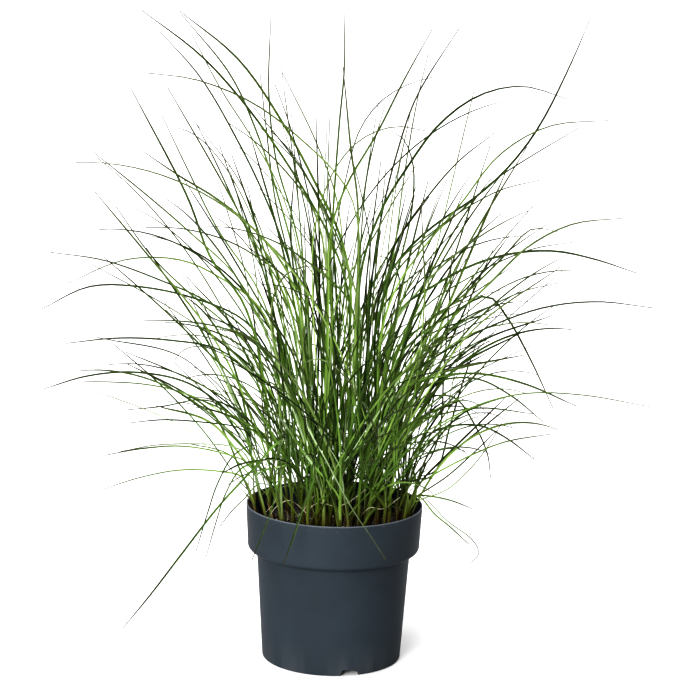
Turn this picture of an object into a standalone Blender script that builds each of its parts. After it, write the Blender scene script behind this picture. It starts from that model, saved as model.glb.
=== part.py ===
"""Potted ornamental grass clump: an arching, fine-leaved sedge in a three-litre nursery pot.

The pieces are the moulded pot, the fill of potting soil, and the tillers. A tiller is one grown
piece: a short sheathed stem that parts into two or three long, keeled, tapering leaves.
Metres, +Z up. The origin is the middle of the pot's foot, on the ground, and the front is -Y.
"""
import itertools
import math
import random

import bmesh
import bpy
import numpy as np
from mathutils import Vector

MM = 0.001

# ---- driving dimensions, in millimetres ----
POT_HEIGHT = 170.5
RIM_RADIUS = 95.0
COLLAR_FOOT_RADIUS = 92.8
COLLAR_FOOT_HEIGHT = 127.5
BODY_TOP_RADIUS = 82.8
BODY_TOP_HEIGHT = 120.5
FOOT_RADIUS = 75.0
FOOT_CORNER = 1.6
WALL = 1.5
BASE_UNDERSIDE = 7.0
FOOT_RING_WIDTH = 3.4
POT_SIDES = 36
SHARP_ANGLE = 35.0
NOTCH_COUNT = 3
NOTCH_ANGLE = 16.0
NOTCH_FOOT_WIDTH = 21.0
NOTCH_TOP_WIDTH = 14.5
NOTCH_HEIGHT = 6.6
DRAIN_COUNT = 6
DRAIN_RADIUS = 5.0
DRAIN_CIRCLE = 52.0
TOUCH_GAP = 0.3
SOIL_TOP = 145.0

TILLER_WIDTH = 5.2
TILLER_DEPTH = 2.8
LONGEST_STEM = 85.0
SHORTEST_STEM = 12.0
STEM_BELOW_LEAVES = 8.0
STEEPEST_LEAN = 34.0
FIRST_PARTING = 0.62
RIM_CLEARANCE = 3.0
LEAF_SEGMENTS = 8
LEAF_KEEL = 0.9
TIP_NARROWING = 0.6
KEEL_FADE = 0.5
LEVELLING = 0.6
LEAF_CLEARANCE = 3.6
CROTCH_LENGTH = 28.0
STEM_LINE = 3.0
DEPTH_SHIFTS = range(-80, 81, 8)
BOWS = (0, -7, 7, -14, 14, -22, 22, -30, 30)
FURTHEST_DEPTH = 280.0

# The tillers that fill the clump's middle: no fill stands left of and behind the bare corner.
# Their leaves' tilt from upright, droop and turn are in degrees.
FILL_SPOTS = 46
FILL_RADIUS = 70.0
FILL_SPACING = 10.8
BARE_CORNER = (-34.0, 6.0)
FILL_TURN = 32.0
FILL_TILT = (2.0, 30.0)
FILL_DROOP = 85.0
FILL_LENGTH = (170.0, 550.0)
FILL_WIDTH = (1.9, 3.1)
FILL_REACH = 272.0
EDGE_LENGTH = 0.62
MIDDLE_SPREAD = 0.15
SEED = 3

# The front view is laid out in the plane Y = 0 as it looks from this point, in millimetres. A leaf
# that bends towards or away from the front keeps its outline as seen from there.
EYE = np.array([10.5, -2739.0, 923.6])

# Tillers set by hand: the foot (x, y) of the stem, then its leaves. A leaf is the depth Y that
# its tip reaches, its width, and its course (x, z) in the front view, from low on the leaf to
# its tip. All in millimetres.
PLACED_TILLERS = [
    ((-77, -15), [
        (-25, 1.8, [(-101, 190), (-142, 246), (-190, 297), (-240, 340)]),
        (65, 2.4, [(-103, 206), (-117, 240), (-134, 268), (-170, 292), (-224, 318)]),
        (-80, 2.0, [(-96, 212), (-120, 222), (-165, 229), (-210, 225), (-248, 217)]),
    ]),
    ((-68, -40), [
        (5, 2.8, [(-92, 240), (-120, 272), (-160, 299), (-215, 309), (-265, 304), (-315, 288)]),
        (95, 2.0, [(-100, 245), (-135, 275), (-165, 288), (-205, 296), (-278, 298)]),
        (-100, 1.8, [(-93, 244), (-108, 252), (-140, 256), (-185, 258), (-220, 254)]),
    ]),
    ((-52, -58), [
        (-70, 2.4, [(-80, 215), (-92, 262), (-112, 312), (-145, 366), (-200, 432), (-260, 503)]),
        (50, 2.8, [(-78, 300), (-88, 350), (-104, 392), (-136, 434), (-162, 500), (-222, 612)]),
        (-130, 2.2, [(-72, 260), (-92, 308), (-127, 336), (-180, 345), (-235, 346), (-290, 339)]),
    ]),
    ((-58, 4), [
        (10, 3.0, [(-58, 280), (-72, 330), (-100, 368), (-150, 390), (-210, 402), (-265, 401),
                   (-315, 376)]),
        (145, 2.2, [(-66, 340), (-86, 385), (-120, 410), (-165, 431), (-225, 431), (-290, 403)]),
        (-60, 2.2, [(-75, 350), (-110, 415), (-160, 462), (-205, 500), (-262, 545)]),
    ]),
    ((-42, -58), [
        (-95, 2.2, [(-45, 350), (-60, 400), (-90, 452), (-130, 523), (-184, 614)]),
        (-20, 2.0, [(-62, 300), (-95, 355), (-140, 388), (-190, 410), (-250, 430), (-306, 437)]),
        (-115, 2.2, [(-56, 295), (-86, 345), (-130, 361), (-170, 366), (-207, 366)]),
    ]),
    ((-34, -12), [
        (-40, 2.2, [(-45, 440), (-66, 511), (-95, 562), (-130, 615), (-165, 680)]),
        (80, 2.8, [(-42, 380), (-57, 424), (-90, 465), (-131, 498), (-170, 521), (-208, 546)]),
        (-115, 2.0, [(-32, 370), (-48, 408), (-80, 432), (-120, 454), (-170, 466), (-206, 466)]),
    ]),
    ((-50, 44), [
        (110, 2.2, [(-75, 400), (-92, 450), (-109, 487), (-135, 542), (-154, 578)]),
        (175, 2.0, [(-68, 350), (-87, 403), (-130, 466), (-160, 524), (-190, 585)]),
        (95, 2.0, [(-80, 320), (-115, 360), (-155, 393), (-200, 436), (-237, 487)]),
    ]),
    ((-22, 30), [
        (65, 2.4, [(-45, 420), (-66, 499), (-90, 568), (-119, 629), (-170, 690)]),
        (135, 2.2, [(-40, 370), (-53, 430), (-80, 500), (-110, 560), (-150, 626), (-195, 675)]),
        (30, 2.4, [(-35, 400), (-51, 478), (-70, 540), (-79, 610), (-78, 695)]),
    ]),
    ((14, -24), [
        (-40, 3.0, [(12, 340), (8, 405), (-12, 460), (-45, 517), (-100, 594), (-150, 648), (-212, 694)]),
        (-90, 2.2, [(19, 400), (18, 470), (4, 514), (-44, 563), (-95, 600), (-154, 623), (-206, 629)]),
        (-25, 3.0, [(17, 380), (18, 441), (16, 500), (7, 560), (-2, 640)]),
    ]),
    ((4, 14), [
        (95, 3.0, [(12, 400), (0, 460), (-25, 512), (-60, 575), (-110, 645), (-172, 694)]),
        (65, 2.4, [(-10, 420), (-8, 500), (-4, 580), (0, 640), (-2, 702)]),
        (-40, 2.2, [(-6, 450), (4, 520), (18, 575), (40, 606), (70, 625), (93, 632)]),
    ]),
    ((27, -52), [
        (30, 2.2, [(35, 430), (45, 500), (55, 545), (75, 610), (118, 684)]),
        (25, 3.0, [(22, 420), (42, 490), (66, 533), (100, 582), (140, 613), (185, 624), (237, 611)]),
        (-95, 2.6, [(22, 400), (22, 450), (26, 520), (33, 560), (43, 600)]),
    ]),
    ((-10, -64), [
        (-25, 2.4, [(-12, 400), (-12, 460), (2, 510), (36, 573), (62, 628), (90, 682)]),
        (-100, 2.2, [(-28, 400), (-27, 470), (-8, 531), (20, 565), (55, 579), (88, 575)]),
        (-5, 2.2, [(-14, 420), (-28, 486), (-60, 530), (-92, 560), (-122, 580)]),
    ]),
    ((46, -22), [
        (-25, 2.4, [(45, 350), (60, 407), (87, 450), (125, 498), (165, 552), (215, 583), (277, 591)]),
        (50, 2.8, [(42, 395), (66, 443), (100, 477), (140, 506), (175, 540), (205, 583),
                   (235, 648), (254, 698)]),
        (105, 2.0, [(48, 400), (82, 452), (122, 488), (160, 525), (200, 553), (247, 583)]),
    ]),
    ((38, 26), [
        (135, 2.2, [(32, 400), (54, 450), (80, 492), (120, 543), (158, 575)]),
        (-70, 2.2, [(38, 390), (64, 438), (100, 471), (140, 500), (170, 516), (210, 527)]),
        (145, 1.8, [(50, 400), (58, 460), (64, 520), (75, 600), (86, 655)]),
    ]),
    ((59, -37), [
        (-115, 2.4, [(69, 222), (77, 250), (83, 290), (89, 350), (91, 410), (88, 450), (84, 500)]),
        (-40, 3.0, [(52, 335), (66, 385), (100, 411), (140, 434), (180, 447), (225, 451),
                    (270, 443), (313, 430)]),
        (-40, 2.4, [(62, 325), (82, 353), (120, 381), (157, 401), (178, 379), (205, 333), (231, 281)]),
    ]),
    ((56, 20), [
        (50, 2.4, [(62, 340), (93, 370), (130, 400), (170, 441), (199, 473), (212, 475), (228, 472)]),
        (105, 1.8, [(68, 340), (100, 378), (140, 403), (179, 432)]),
        (145, 2.0, [(72, 330), (100, 360), (128, 372), (150, 380), (172, 384)]),
    ]),
    ((53, -56), [
        (-132, 2.6, [(60, 285), (77, 312), (110, 338), (160, 368), (220, 391), (275, 398), (332, 393)]),
        (-80, 2.8, [(52, 270), (67, 297), (100, 313), (140, 325), (197, 338)]),
        (-122, 3.4, [(60, 222), (80, 240), (110, 260), (150, 282), (200, 296), (260, 296), (335, 285)]),
    ]),
    ((68, 2), [
        (-55, 2.6, [(65, 275), (80, 302), (110, 313), (150, 317), (200, 307), (256, 284)]),
        (70, 2.2, [(72, 270), (87, 297), (115, 310), (150, 311), (185, 294), (222, 265)]),
        (-120, 2.2, [(68, 245), (84, 261), (115, 272), (155, 279), (211, 274)]),
    ]),
    ((72, -27), [
        (-80, 2.8, [(82, 187), (102, 202), (140, 224), (180, 242), (233, 253)]),
        (-130, 2.4, [(87, 228), (102, 244), (130, 260), (163, 275)]),
        (-25, 1.8, [(84, 172), (94, 177), (120, 188), (145, 212), (165, 240), (177, 263)]),
    ]),
    ((75, 18), [
        (70, 2.0, [(95, 200), (125, 230), (165, 265), (197, 293)]),
        (135, 1.8, [(86, 178), (98, 187), (120, 203), (145, 227), (172, 255)]),
        (10, 2.2, [(80, 272), (99, 290), (126, 290), (149, 259), (163, 228), (167, 203)]),
    ]),
    ((78, -13), [
        (0, 2.0, [(84, 178), (93, 181), (106, 180), (125, 176), (149, 167)]),
        (-60, 1.8, [(84, 178), (92, 179), (108, 161), (125, 147), (146, 128)]),
        (50, 1.8, [(84, 178), (92, 181), (102, 173), (122, 153), (150, 132), (157, 118), (149, 107)]),
    ]),
    ((-75, 14), [
        (-80, 1.8, [(-85, 232), (-108, 222), (-126, 190), (-138, 152), (-149, 112)]),
        (50, 1.8, [(-108, 250), (-125, 275), (-145, 281), (-185, 273), (-224, 268)]),
        (130, 1.8, [(-95, 250), (-112, 285), (-128, 318), (-150, 348), (-184, 378)]),
    ]),
    ((-26, -74), [
        (-150, 2.4, [(-50, 236), (-60, 237), (-88, 206), (-125, 163), (-165, 108), (-198, 62), (-227, 24)]),
        (-118, 2.2, [(-14, 225), (-20, 205), (-32, 170), (-44, 130), (-54, 100)]),
    ]),
    ((-55, -40), [
        (-128, 1.8, [(-52, 215), (-60, 195), (-68, 160), (-79, 128), (-88, 104)]),
        (-100, 1.8, [(-80, 190), (-98, 172), (-112, 157), (-124, 140)]),
    ]),
    ((19, -74), [
        (-138, 1.8, [(-12, 240), (-30, 266), (-33, 262), (-8, 214), (8, 184), (22, 160),
                     (40, 134), (57, 108)]),
        (-100, 1.6, [(16, 225), (26, 242), (38, 262), (52, 285)]),
    ]),
    ((66, 38), [
        (95, 2.0, [(103, 225), (112, 265), (113, 310), (116, 380), (118, 453)]),
        (160, 2.0, [(95, 250), (107, 305), (124, 343), (141, 370)]),
        (110, 2.2, [(107, 208), (121, 256), (132, 300), (146, 347)]),
    ]),
    ((18, 52), [
        (185, 1.8, [(5, 420), (-5, 500), (-30, 565), (-67, 637)]),
        (95, 2.2, [(62, 430), (75, 500), (73, 545), (60, 570), (43, 575)]),
        (160, 1.8, [(-14, 430), (-15, 520), (-14, 600)]),
    ]),
    ((-10, 62), [
        (150, 2.2, [(5, 430), (-15, 485), (-45, 535), (-95, 597)]),
        (190, 2.0, [(-25, 420), (-45, 520), (-64, 580)]),
        (130, 2.0, [(-50, 420), (-70, 500), (-80, 570), (-88, 632)]),
    ]),
]

# Leaves that reach furthest forward and back, from tillers of their own: foot (x, y), then each
# leaf's width and its course (x, y, z).
FRONT_AND_BACK = [
    ((6, -76), [
        (2.4, [(14, -130, 270), (26, -205, 330), (42, -280, 312)]),
        (2.2, [(0, -120, 300), (-14, -165, 380), (-30, -205, 430)]),
    ]),
    ((-6, 77), [
        (2.4, [(-10, 130, 270), (-20, 205, 336), (-34, 280, 318)]),
        (2.2, [(4, 120, 310), (16, 160, 400), (34, 200, 470)]),
    ]),
]


# ---- the course of stems and leaves ----
def pushed_to_depth(x, z, y):
    """The point at depth y that looks from EYE as (x, 0, z) does."""
    flat = np.array([x, 0.0, z])
    return EYE + (flat - EYE) * (1.0 - y / EYE[1])


def smooth_course(points, samples):
    """Points spaced evenly along a centripetal Catmull-Rom curve through the given ones."""
    points = np.asarray(points, float)
    ends = [2 * points[0] - points[1], *points, 2 * points[-1] - points[-2]]
    spans = [points[:1]]
    for before, start, end, after in zip(ends, ends[1:], ends[2:], ends[3:]):
        t1 = math.sqrt(np.linalg.norm(start - before))
        t2 = t1 + math.sqrt(np.linalg.norm(end - start))
        t3 = t2 + math.sqrt(np.linalg.norm(after - end))
        t = np.linspace(t1, t2, 13)[1:, None]
        a = (before * (t1 - t) + start * t) / t1
        b = (start * (t2 - t) + end * (t - t1)) / (t2 - t1)
        c = (end * (t3 - t) + after * (t - t2)) / (t3 - t2)
        low = (a * (t2 - t) + b * t) / t2
        high = (b * (t3 - t) + c * (t - t1)) / (t3 - t1)
        spans.append((low * (t2 - t) + high * (t - t1)) / (t2 - t1))
    return evenly_spaced(np.concatenate(spans), samples)


def evenly_spaced(line, samples):
    """A line of points read again at even distances."""
    along = np.concatenate([[0.0], np.cumsum(np.linalg.norm(np.diff(line, axis=0), axis=1))])
    even = np.linspace(0.0, along[-1], samples)
    return np.stack([np.interp(even, along, line[:, k]) for k in range(3)], axis=1)


def placed_leaf(foot_y, depth, width, course):
    """A hand-set leaf in space: its depth grows from its foot's to the tip's along its course."""
    flat = np.array(course, float)
    steps = np.linalg.norm(np.diff(flat, axis=0), axis=1)
    start = max(flat[0, 1] - SOIL_TOP, 20.0) * 0.6
    share = (start + np.concatenate([[0.0], np.cumsum(steps)])) / (start + steps.sum())
    depths = foot_y + (depth - foot_y) * share ** 1.15
    points = [pushed_to_depth(x, z, y) for (x, z), y in zip(flat, depths)]
    return {"width": width, "points": np.array(points)}


def arched_course(start, azimuth, tilt, droop, length, samples):
    """A leaf's course: it sets out at a tilt from upright and bows over more and more to its tip."""
    share = np.linspace(0.0, 1.0, samples)
    tilts = tilt + droop * share ** 1.6
    across, up = np.sin(tilts), np.cos(tilts)
    ways = np.stack([across * math.cos(azimuth), across * math.sin(azimuth), up], axis=1)
    steps = (ways[1:] + ways[:-1]) / 2 * length / (samples - 1)
    return start + np.concatenate([np.zeros((1, 3)), np.cumsum(steps, axis=0)])


def grown_leaf(draw, foot, centre_share):
    """A leaf of a tiller that fills the clump: upright in the middle, and arching at the edge."""
    azimuth = math.atan2(foot[1], foot[0]) + math.radians(draw.gauss(0.0, FILL_TURN))
    outer = 1.0 + MIDDLE_SPREAD - centre_share
    tilt = math.radians(draw.uniform(*FILL_TILT) * outer)
    droop = math.radians(FILL_DROOP * draw.random() * outer)
    most = EDGE_LENGTH + (1.0 - EDGE_LENGTH) * centre_share
    shortest, longest = FILL_LENGTH
    length = draw.uniform(shortest, shortest + (longest - shortest) * most)
    start = np.array([foot[0], foot[1], SOIL_TOP])
    course = arched_course(start, azimuth, tilt, droop, length, samples=13)
    reach = np.abs(course[-1, :2] - start[:2]) + np.abs(start[:2])
    if reach.max() > FILL_REACH:
        course = start + (course - start) * FILL_REACH / reach.max()
    return {"width": draw.uniform(*FILL_WIDTH), "points": course[4::4]}


def fill_feet(taken):
    """Sunflower-seed spots over the soil that keep clear of the tillers already set."""
    golden = math.pi * (3.0 - math.sqrt(5.0))
    feet = []
    for spot in range(FILL_SPOTS):
        radius = FILL_RADIUS * math.sqrt((spot + 0.5) / FILL_SPOTS)
        foot = np.array([radius * math.cos(spot * golden), radius * math.sin(spot * golden)])
        bare = foot[0] < BARE_CORNER[0] and foot[1] > BARE_CORNER[1]
        crowded = any(np.linalg.norm(foot - other) < FILL_SPACING for other in [*taken, *feet])
        if not bare and not crowded:
            feet.append(foot)
    return feet


def planned_tillers():
    """Every tiller's foot and its leaves' own points, before they are fitted past each other."""
    draw = random.Random(SEED)
    tillers = []
    for foot, leaves in FRONT_AND_BACK:
        courses = [{"width": width, "points": np.array(points, float)} for width, points in leaves]
        tillers.append({"foot": np.array(foot, float), "leaves": courses})
    for foot, leaves in PLACED_TILLERS:
        courses = [placed_leaf(foot[1], *leaf) for leaf in leaves]
        tillers.append({"foot": np.array(foot, float), "leaves": courses})
    for foot in fill_feet([tiller["foot"] for tiller in tillers]):
        centre_share = 1.0 - np.linalg.norm(foot) / FILL_RADIUS
        leaves = [grown_leaf(draw, foot, centre_share) for _ in range(draw.choice((2, 2, 3)))]
        tillers.append({"foot": foot, "leaves": leaves})
    return tillers


def set_stem(tiller):
    """The stem leans towards its leaves and ends below the lowest. The stray leaf parts first."""
    leaves = tiller["leaves"]
    firsts = np.array([leaf["points"][0] for leaf in leaves])
    base = np.array([*tiller["foot"], SOIL_TOP + TOUCH_GAP])
    lean = (firsts - base).mean(axis=0)
    flat = math.hypot(lean[0], lean[1])
    most = lean[2] * math.tan(math.radians(STEEPEST_LEAN))
    if flat > most:
        lean[:2] *= most / flat
    rim_inside = RIM_RADIUS - WALL - RIM_CLEARANCE - TILLER_WIDTH / 2
    while math.hypot(*(base + lean * (POT_HEIGHT - base[2]) / lean[2])[:2]) > rim_inside:
        lean[:2] *= 0.9
    top_height = min(firsts[:, 2].min() - STEM_BELOW_LEAVES, base[2] + LONGEST_STEM)
    length = max(top_height - base[2], SHORTEST_STEM)
    lean *= length / lean[2]
    tiller["base"] = base
    tiller["lean"] = lean
    strays = np.linalg.norm((firsts - base - lean)[:, :2], axis=1)
    for number, leaf in enumerate(leaves):
        first = len(leaves) == 3 and number == np.argmax(strays)
        leaf["share"] = FIRST_PARTING if first else 1.0
        leaf["parting"] = base + lean * leaf["share"]


def arrange_leaves(tiller):
    """Sorts the leaves along the strip of the stem the way they lean, the stray one at its end."""
    heads = [leaf["route"][1] for leaf in tiller["leaves"]]
    strays = [head for head, leaf in zip(heads, tiller["leaves"]) if leaf["share"] < 1.0]
    if strays:
        across = strays[0] - (sum(heads) - strays[0]) / 2
    else:
        across = heads[1] - heads[0]
    across = np.array([across[0], across[1], 0.0])
    tiller["across"] = across / np.linalg.norm(across)
    tiller["leaves"].sort(key=lambda leaf: (leaf["share"] < 1.0, leaf["route"][1] @ tiller["across"]))


def leaf_route(tiller, leaf, depth_shift, bow, samples=LEAF_SEGMENTS + 1):
    """A leaf's course from its parting, shifted in depth along the line from EYE."""
    below = leaf["parting"] - tiller["lean"] * 0.15
    points = np.array([leaf["parting"], *leaf["points"]])
    steps = np.linalg.norm(np.diff(points, axis=0), axis=1)
    share = np.concatenate([[0.0], np.cumsum(steps)]) / steps.sum()
    shift = depth_shift * share + bow * np.sin(math.pi * share)
    away = (points - EYE) / (points - EYE)[:, 1:2]
    points = points + away * shift[:, None]
    course = smooth_course([below, *points], 10 * samples)
    start = np.argmin(np.linalg.norm(course - leaf["parting"], axis=1))
    return evenly_spaced(course[start:], samples)


def least_gap(route, starts, ends):
    """The least distance between a route and the straight segments that come near its box."""
    margin = 3.0 * LEAF_CLEARANCE
    beside = (np.minimum(starts, ends) < route.max(axis=0) + margin).all(axis=1)
    beside &= (np.maximum(starts, ends) > route.min(axis=0) - margin).all(axis=1)
    if not beside.any():
        return margin
    starts = starts[beside]
    along = ends[beside] - starts
    length = np.linalg.norm(np.diff(route, axis=0), axis=1).sum()
    points = evenly_spaced(route, max(int(length / 3.0), 4))[:, None]
    share = ((points - starts) * along).sum(axis=2) / (along * along).sum(axis=1)
    nearest = starts + along * np.clip(share, 0.0, 1.0)[..., None]
    return math.sqrt(((points - nearest) ** 2).sum(axis=2).min())


def clears_pot(route):
    """Whether a leaf keeps clear of the pot's wall and of the soil."""
    radii = np.hypot(route[:, 0], route[:, 1])
    low = route[:, 2] < POT_HEIGHT + RIM_CLEARANCE
    outside = radii > RIM_RADIUS + RIM_CLEARANCE
    inside = radii < COLLAR_FOOT_RADIUS - WALL - RIM_CLEARANCE
    above_soil = route[:, 2] > SOIL_TOP + RIM_CLEARANCE
    return bool((~low | outside | (inside & above_soil)).all())


def fitted_tillers():
    """The whole clump. Each leaf is bent in depth until it passes clear of those before it."""
    tillers = planned_tillers()
    starts, ends = [], []
    for tiller in tillers:
        set_stem(tiller)
        starts.append(tiller["base"])
        ends.append(tiller["base"] + tiller["lean"])
    owner = list(range(len(tillers)))
    shifts = sorted(DEPTH_SHIFTS, key=abs)
    tries = sorted(itertools.product(shifts, BOWS), key=lambda t: abs(t[0]) + 2 * abs(t[1]))
    for number, tiller in enumerate(tillers):
        for leaf in tiller["leaves"]:
            mine = np.array(owner) == number
            other_starts = np.array(starts)[~mine]
            other_ends = np.array(ends)[~mine]
            own_starts = np.array(starts)[mine]
            own_ends = np.array(ends)[mine]
            if leaf["share"] < 1.0:
                own_ends[0] = tiller["base"] + tiller["lean"] * STEM_LINE
            best = None
            for depth_shift, bow in tries:
                route = leaf_route(tiller, leaf, depth_shift, bow)
                if abs(route[:, 1]).max() > FURTHEST_DEPTH + 1.0:
                    continue
                if not clears_pot(evenly_spaced(route, 80)):
                    continue
                step = np.linalg.norm(route[1] - route[0])
                apart = route[math.ceil(CROTCH_LENGTH / step):]
                own_gap = least_gap(apart, own_starts, own_ends)
                gap = min(least_gap(route, other_starts, other_ends), own_gap)
                if best is None or gap > best[0]:
                    best = (gap, route, (depth_shift, bow))
                if gap > LEAF_CLEARANCE:
                    break
            leaf["route"], leaf["bend"] = best[1:]
            starts.extend(leaf["route"][:-1])
            ends.extend(leaf["route"][1:])
            owner.extend([number] * (len(leaf["route"]) - 1))
        arrange_leaves(tiller)
    return tillers


# ---- tillers as solids ----
def unit(vector):
    return vector / np.linalg.norm(vector)


def strip_corners(tiller, share):
    """The stem's section at a share of its length: a flat zigzag strip of triangles, one a leaf."""
    centre = tiller["base"] + tiller["lean"] * share
    across = tiller["across"]
    depth_way = np.array([-across[1], across[0], 0.0])
    count = len(tiller["leaves"])
    corners = []
    for corner in range(count + 2):
        side = (corner / (count + 1) - 0.5) * TILLER_WIDTH
        depth = (0.5 if corner % 2 else -0.5) * TILLER_DEPTH
        corners.append(centre + across * side + depth_way * depth)
    return corners


def strip_ring(corners, first, last):
    """The outline of the strip from slot first to slot last, anticlockwise from above."""
    numbers = range(first, last + 3)
    front = [corners[n] for n in numbers if n % 2 == 0]
    back = [corners[n] for n in numbers if n % 2 == 1]
    return [*front, *reversed(back)]


def leaf_ring(centre, along, wide, width, share, slot):
    """A triangular section of a leaf, a flat blade with a keel, in the order of strip_ring."""
    high = np.cross(along, wide) * LEAF_KEEL * (1.0 - KEEL_FADE * share)
    half = wide * 0.5 * width * (1.0 - TIP_NARROWING * share ** 2)
    if slot % 2 == 0:
        return [centre - half - high * 0.4, centre + half - high * 0.4, centre + high * 0.6]
    return [centre - high * 0.6, centre + half + high * 0.4, centre - half + high * 0.4]


def swung(vector, before, after):
    """A vector square to the direction before, swung with it into the direction after."""
    return vector - (before + after) * (vector @ after) / (1.0 + before @ after)


def add_band(mesh, lower, upper):
    """Side faces between two rings of vertices that both run anticlockwise from above."""
    for here in range(len(lower)):
        after = (here + 1) % len(lower)
        mesh.faces.new((lower[here], lower[after], upper[after], upper[here]))


def add_leaf(mesh, leaf, foot_ring, stem, across, slot):
    """A leaf drawn out of its triangle of the stem, ring by ring, and closed at its tip.

    Its blade keeps the strip's own way across at first, and then turns level.
    """
    route = leaf["route"]
    heading = unit(route[-1] - route[0])
    level = np.array([-heading[1], heading[0], 0.0])
    before = unit(stem)
    wide = unit(across - before * (across @ before))
    ring = foot_ring
    for step in range(1, len(route) - 1):
        along = unit(route[step + 1] - route[step - 1])
        wide = swung(wide, before, along)
        side = level - along * (level @ along)
        wide = unit(wide + side * (LEVELLING if side @ wide > 0.0 else -LEVELLING))
        before = along
        points = leaf_ring(route[step], along, wide, leaf["width"], step / (len(route) - 1), slot)
        upper = [mesh.verts.new(point * MM) for point in points]
        add_band(mesh, ring, upper)
        ring = upper
    tip = mesh.verts.new(route[-1] * MM)
    for here in range(3):
        mesh.faces.new((ring[here], ring[(here + 1) % 3], tip))


def tiller_mesh(name, tiller):
    """A tiller as one closed body. Its leaves part from the stem's strip, the stray one first."""
    mesh = bmesh.new()
    leaves = tiller["leaves"]
    first, last = 0, len(leaves) - 1
    corners = [mesh.verts.new(point * MM) for point in strip_corners(tiller, 0.0)]
    for slot in range(len(leaves)):
        mesh.faces.new(reversed(strip_ring(corners, slot, slot)))
    for share in sorted({leaf["share"] for leaf in leaves}):
        kept = range(first, last + 3)
        points = strip_corners(tiller, share)
        upper = {n: mesh.verts.new(points[n] * MM) for n in kept}
        add_band(mesh, strip_ring(corners, first, last), strip_ring(upper, first, last))
        for slot in range(first, last + 1):
            if leaves[slot]["share"] == share:
                foot_ring = strip_ring(upper, slot, slot)
                add_leaf(mesh, leaves[slot], foot_ring, tiller["lean"], tiller["across"], slot)
        staying = [slot for slot in range(first, last + 1) if leaves[slot]["share"] > share]
        first, last = (staying[0], staying[-1]) if staying else (first, last)
        corners = upper
    return finished_mesh(name, mesh)


def finished_mesh(name, mesh):
    data = bpy.data.meshes.new(name)
    mesh.to_mesh(data)
    mesh.free()
    return data


# ---- pot and soil ----
def body_radius(height):
    return FOOT_RADIUS + (BODY_TOP_RADIUS - FOOT_RADIUS) * height / BODY_TOP_HEIGHT


def collar_radius(height):
    share = (height - COLLAR_FOOT_HEIGHT) / (POT_HEIGHT - COLLAR_FOOT_HEIGHT)
    return COLLAR_FOOT_RADIUS + (RIM_RADIUS - COLLAR_FOOT_RADIUS) * share


def shoulder(offset):
    """The rounded step from the body out to the collar, moved inwards by offset, upwards."""
    inner, outer = BODY_TOP_RADIUS - offset, COLLAR_FOOT_RADIUS - offset
    foot, top = BODY_TOP_HEIGHT + offset, COLLAR_FOOT_HEIGHT + offset
    drop = top - foot
    return [
        (inner, foot - 2.6),
        (inner + 1.2, foot - 0.4),
        (outer - 0.45 * drop, foot + 0.06 * drop),
        (outer - 0.1 * drop, foot + 0.4 * drop),
        (outer, top),
    ]


def inner_outline():
    """The inside of the pot's wall, from its floor up to its collar's foot."""
    floor = BASE_UNDERSIDE + WALL
    return [(body_radius(floor) - WALL, floor), *shoulder(WALL)]


def pot_outline():
    """Radius and height round the pot's wall, from under its base out, up, over and back in."""
    ring_inner = FOOT_RADIUS - FOOT_CORNER - FOOT_RING_WIDTH
    lip = WALL / 2
    rim = POT_HEIGHT - lip
    return [
        (0.0, BASE_UNDERSIDE),
        (ring_inner, BASE_UNDERSIDE),
        (ring_inner, 0.0),
        (FOOT_RADIUS - FOOT_CORNER, 0.0),
        (FOOT_RADIUS - 0.3 * FOOT_CORNER, 0.3 * FOOT_CORNER),
        (body_radius(FOOT_CORNER), FOOT_CORNER),
        *shoulder(0.0),
        (RIM_RADIUS, rim),
        (RIM_RADIUS - lip, POT_HEIGHT),
        (RIM_RADIUS - WALL, rim),
        *reversed(inner_outline()),
        (0.0, BASE_UNDERSIDE + WALL),
    ]


def soil_outline():
    """The fill inside the pot, a touch clear of it all round, level on top."""
    wall = [(radius - TOUCH_GAP * 1.3, height + TOUCH_GAP) for radius, height in inner_outline()]
    top_radius = collar_radius(SOIL_TOP) - WALL - TOUCH_GAP * 1.3
    return [(0.0, wall[0][1]), *wall, (top_radius, SOIL_TOP), (0.0, SOIL_TOP)]


def turned_mesh(name, outline):
    """A closed body spun round the Z axis from an outline that starts and ends on it."""
    mesh = bmesh.new()
    line = [mesh.verts.new((radius * MM, 0.0, height * MM)) for radius, height in outline]
    edges = [mesh.edges.new(pair) for pair in zip(line, line[1:])]
    bmesh.ops.spin(mesh, geom=[*line, *edges], cent=(0, 0, 0), axis=(0, 0, 1),
                   angle=2 * math.pi, steps=POT_SIDES, use_merge=True)
    bmesh.ops.remove_doubles(mesh, verts=mesh.verts, dist=0.01 * MM)
    bmesh.ops.recalc_face_normals(mesh, faces=mesh.faces)
    return finished_mesh(name, mesh)


def notch_cutter_mesh():
    """A long trapezium bar along +X that cuts one drainage notch through the foot ring."""
    mesh = bmesh.new()
    near = FOOT_RADIUS - 2 * FOOT_RING_WIDTH
    far = FOOT_RADIUS + FOOT_RING_WIDTH
    foot = NOTCH_FOOT_WIDTH / 2
    top = NOTCH_TOP_WIDTH / 2
    below = -FOOT_CORNER
    outline = [
        (-foot, 0.0),
        (-foot, below),
        (foot, below),
        (foot, 0.0),
        (top, NOTCH_HEIGHT),
        (-top, NOTCH_HEIGHT),
    ]
    face = mesh.faces.new([mesh.verts.new((near * MM, y * MM, z * MM)) for y, z in outline])
    drawn = bmesh.ops.extrude_face_region(mesh, geom=[face])["geom"]
    moved = [item for item in drawn if isinstance(item, bmesh.types.BMVert)]
    bmesh.ops.translate(mesh, verts=moved, vec=((far - near) * MM, 0.0, 0.0))
    bmesh.ops.recalc_face_normals(mesh, faces=mesh.faces)
    return finished_mesh("notch_cutter", mesh)


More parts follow.
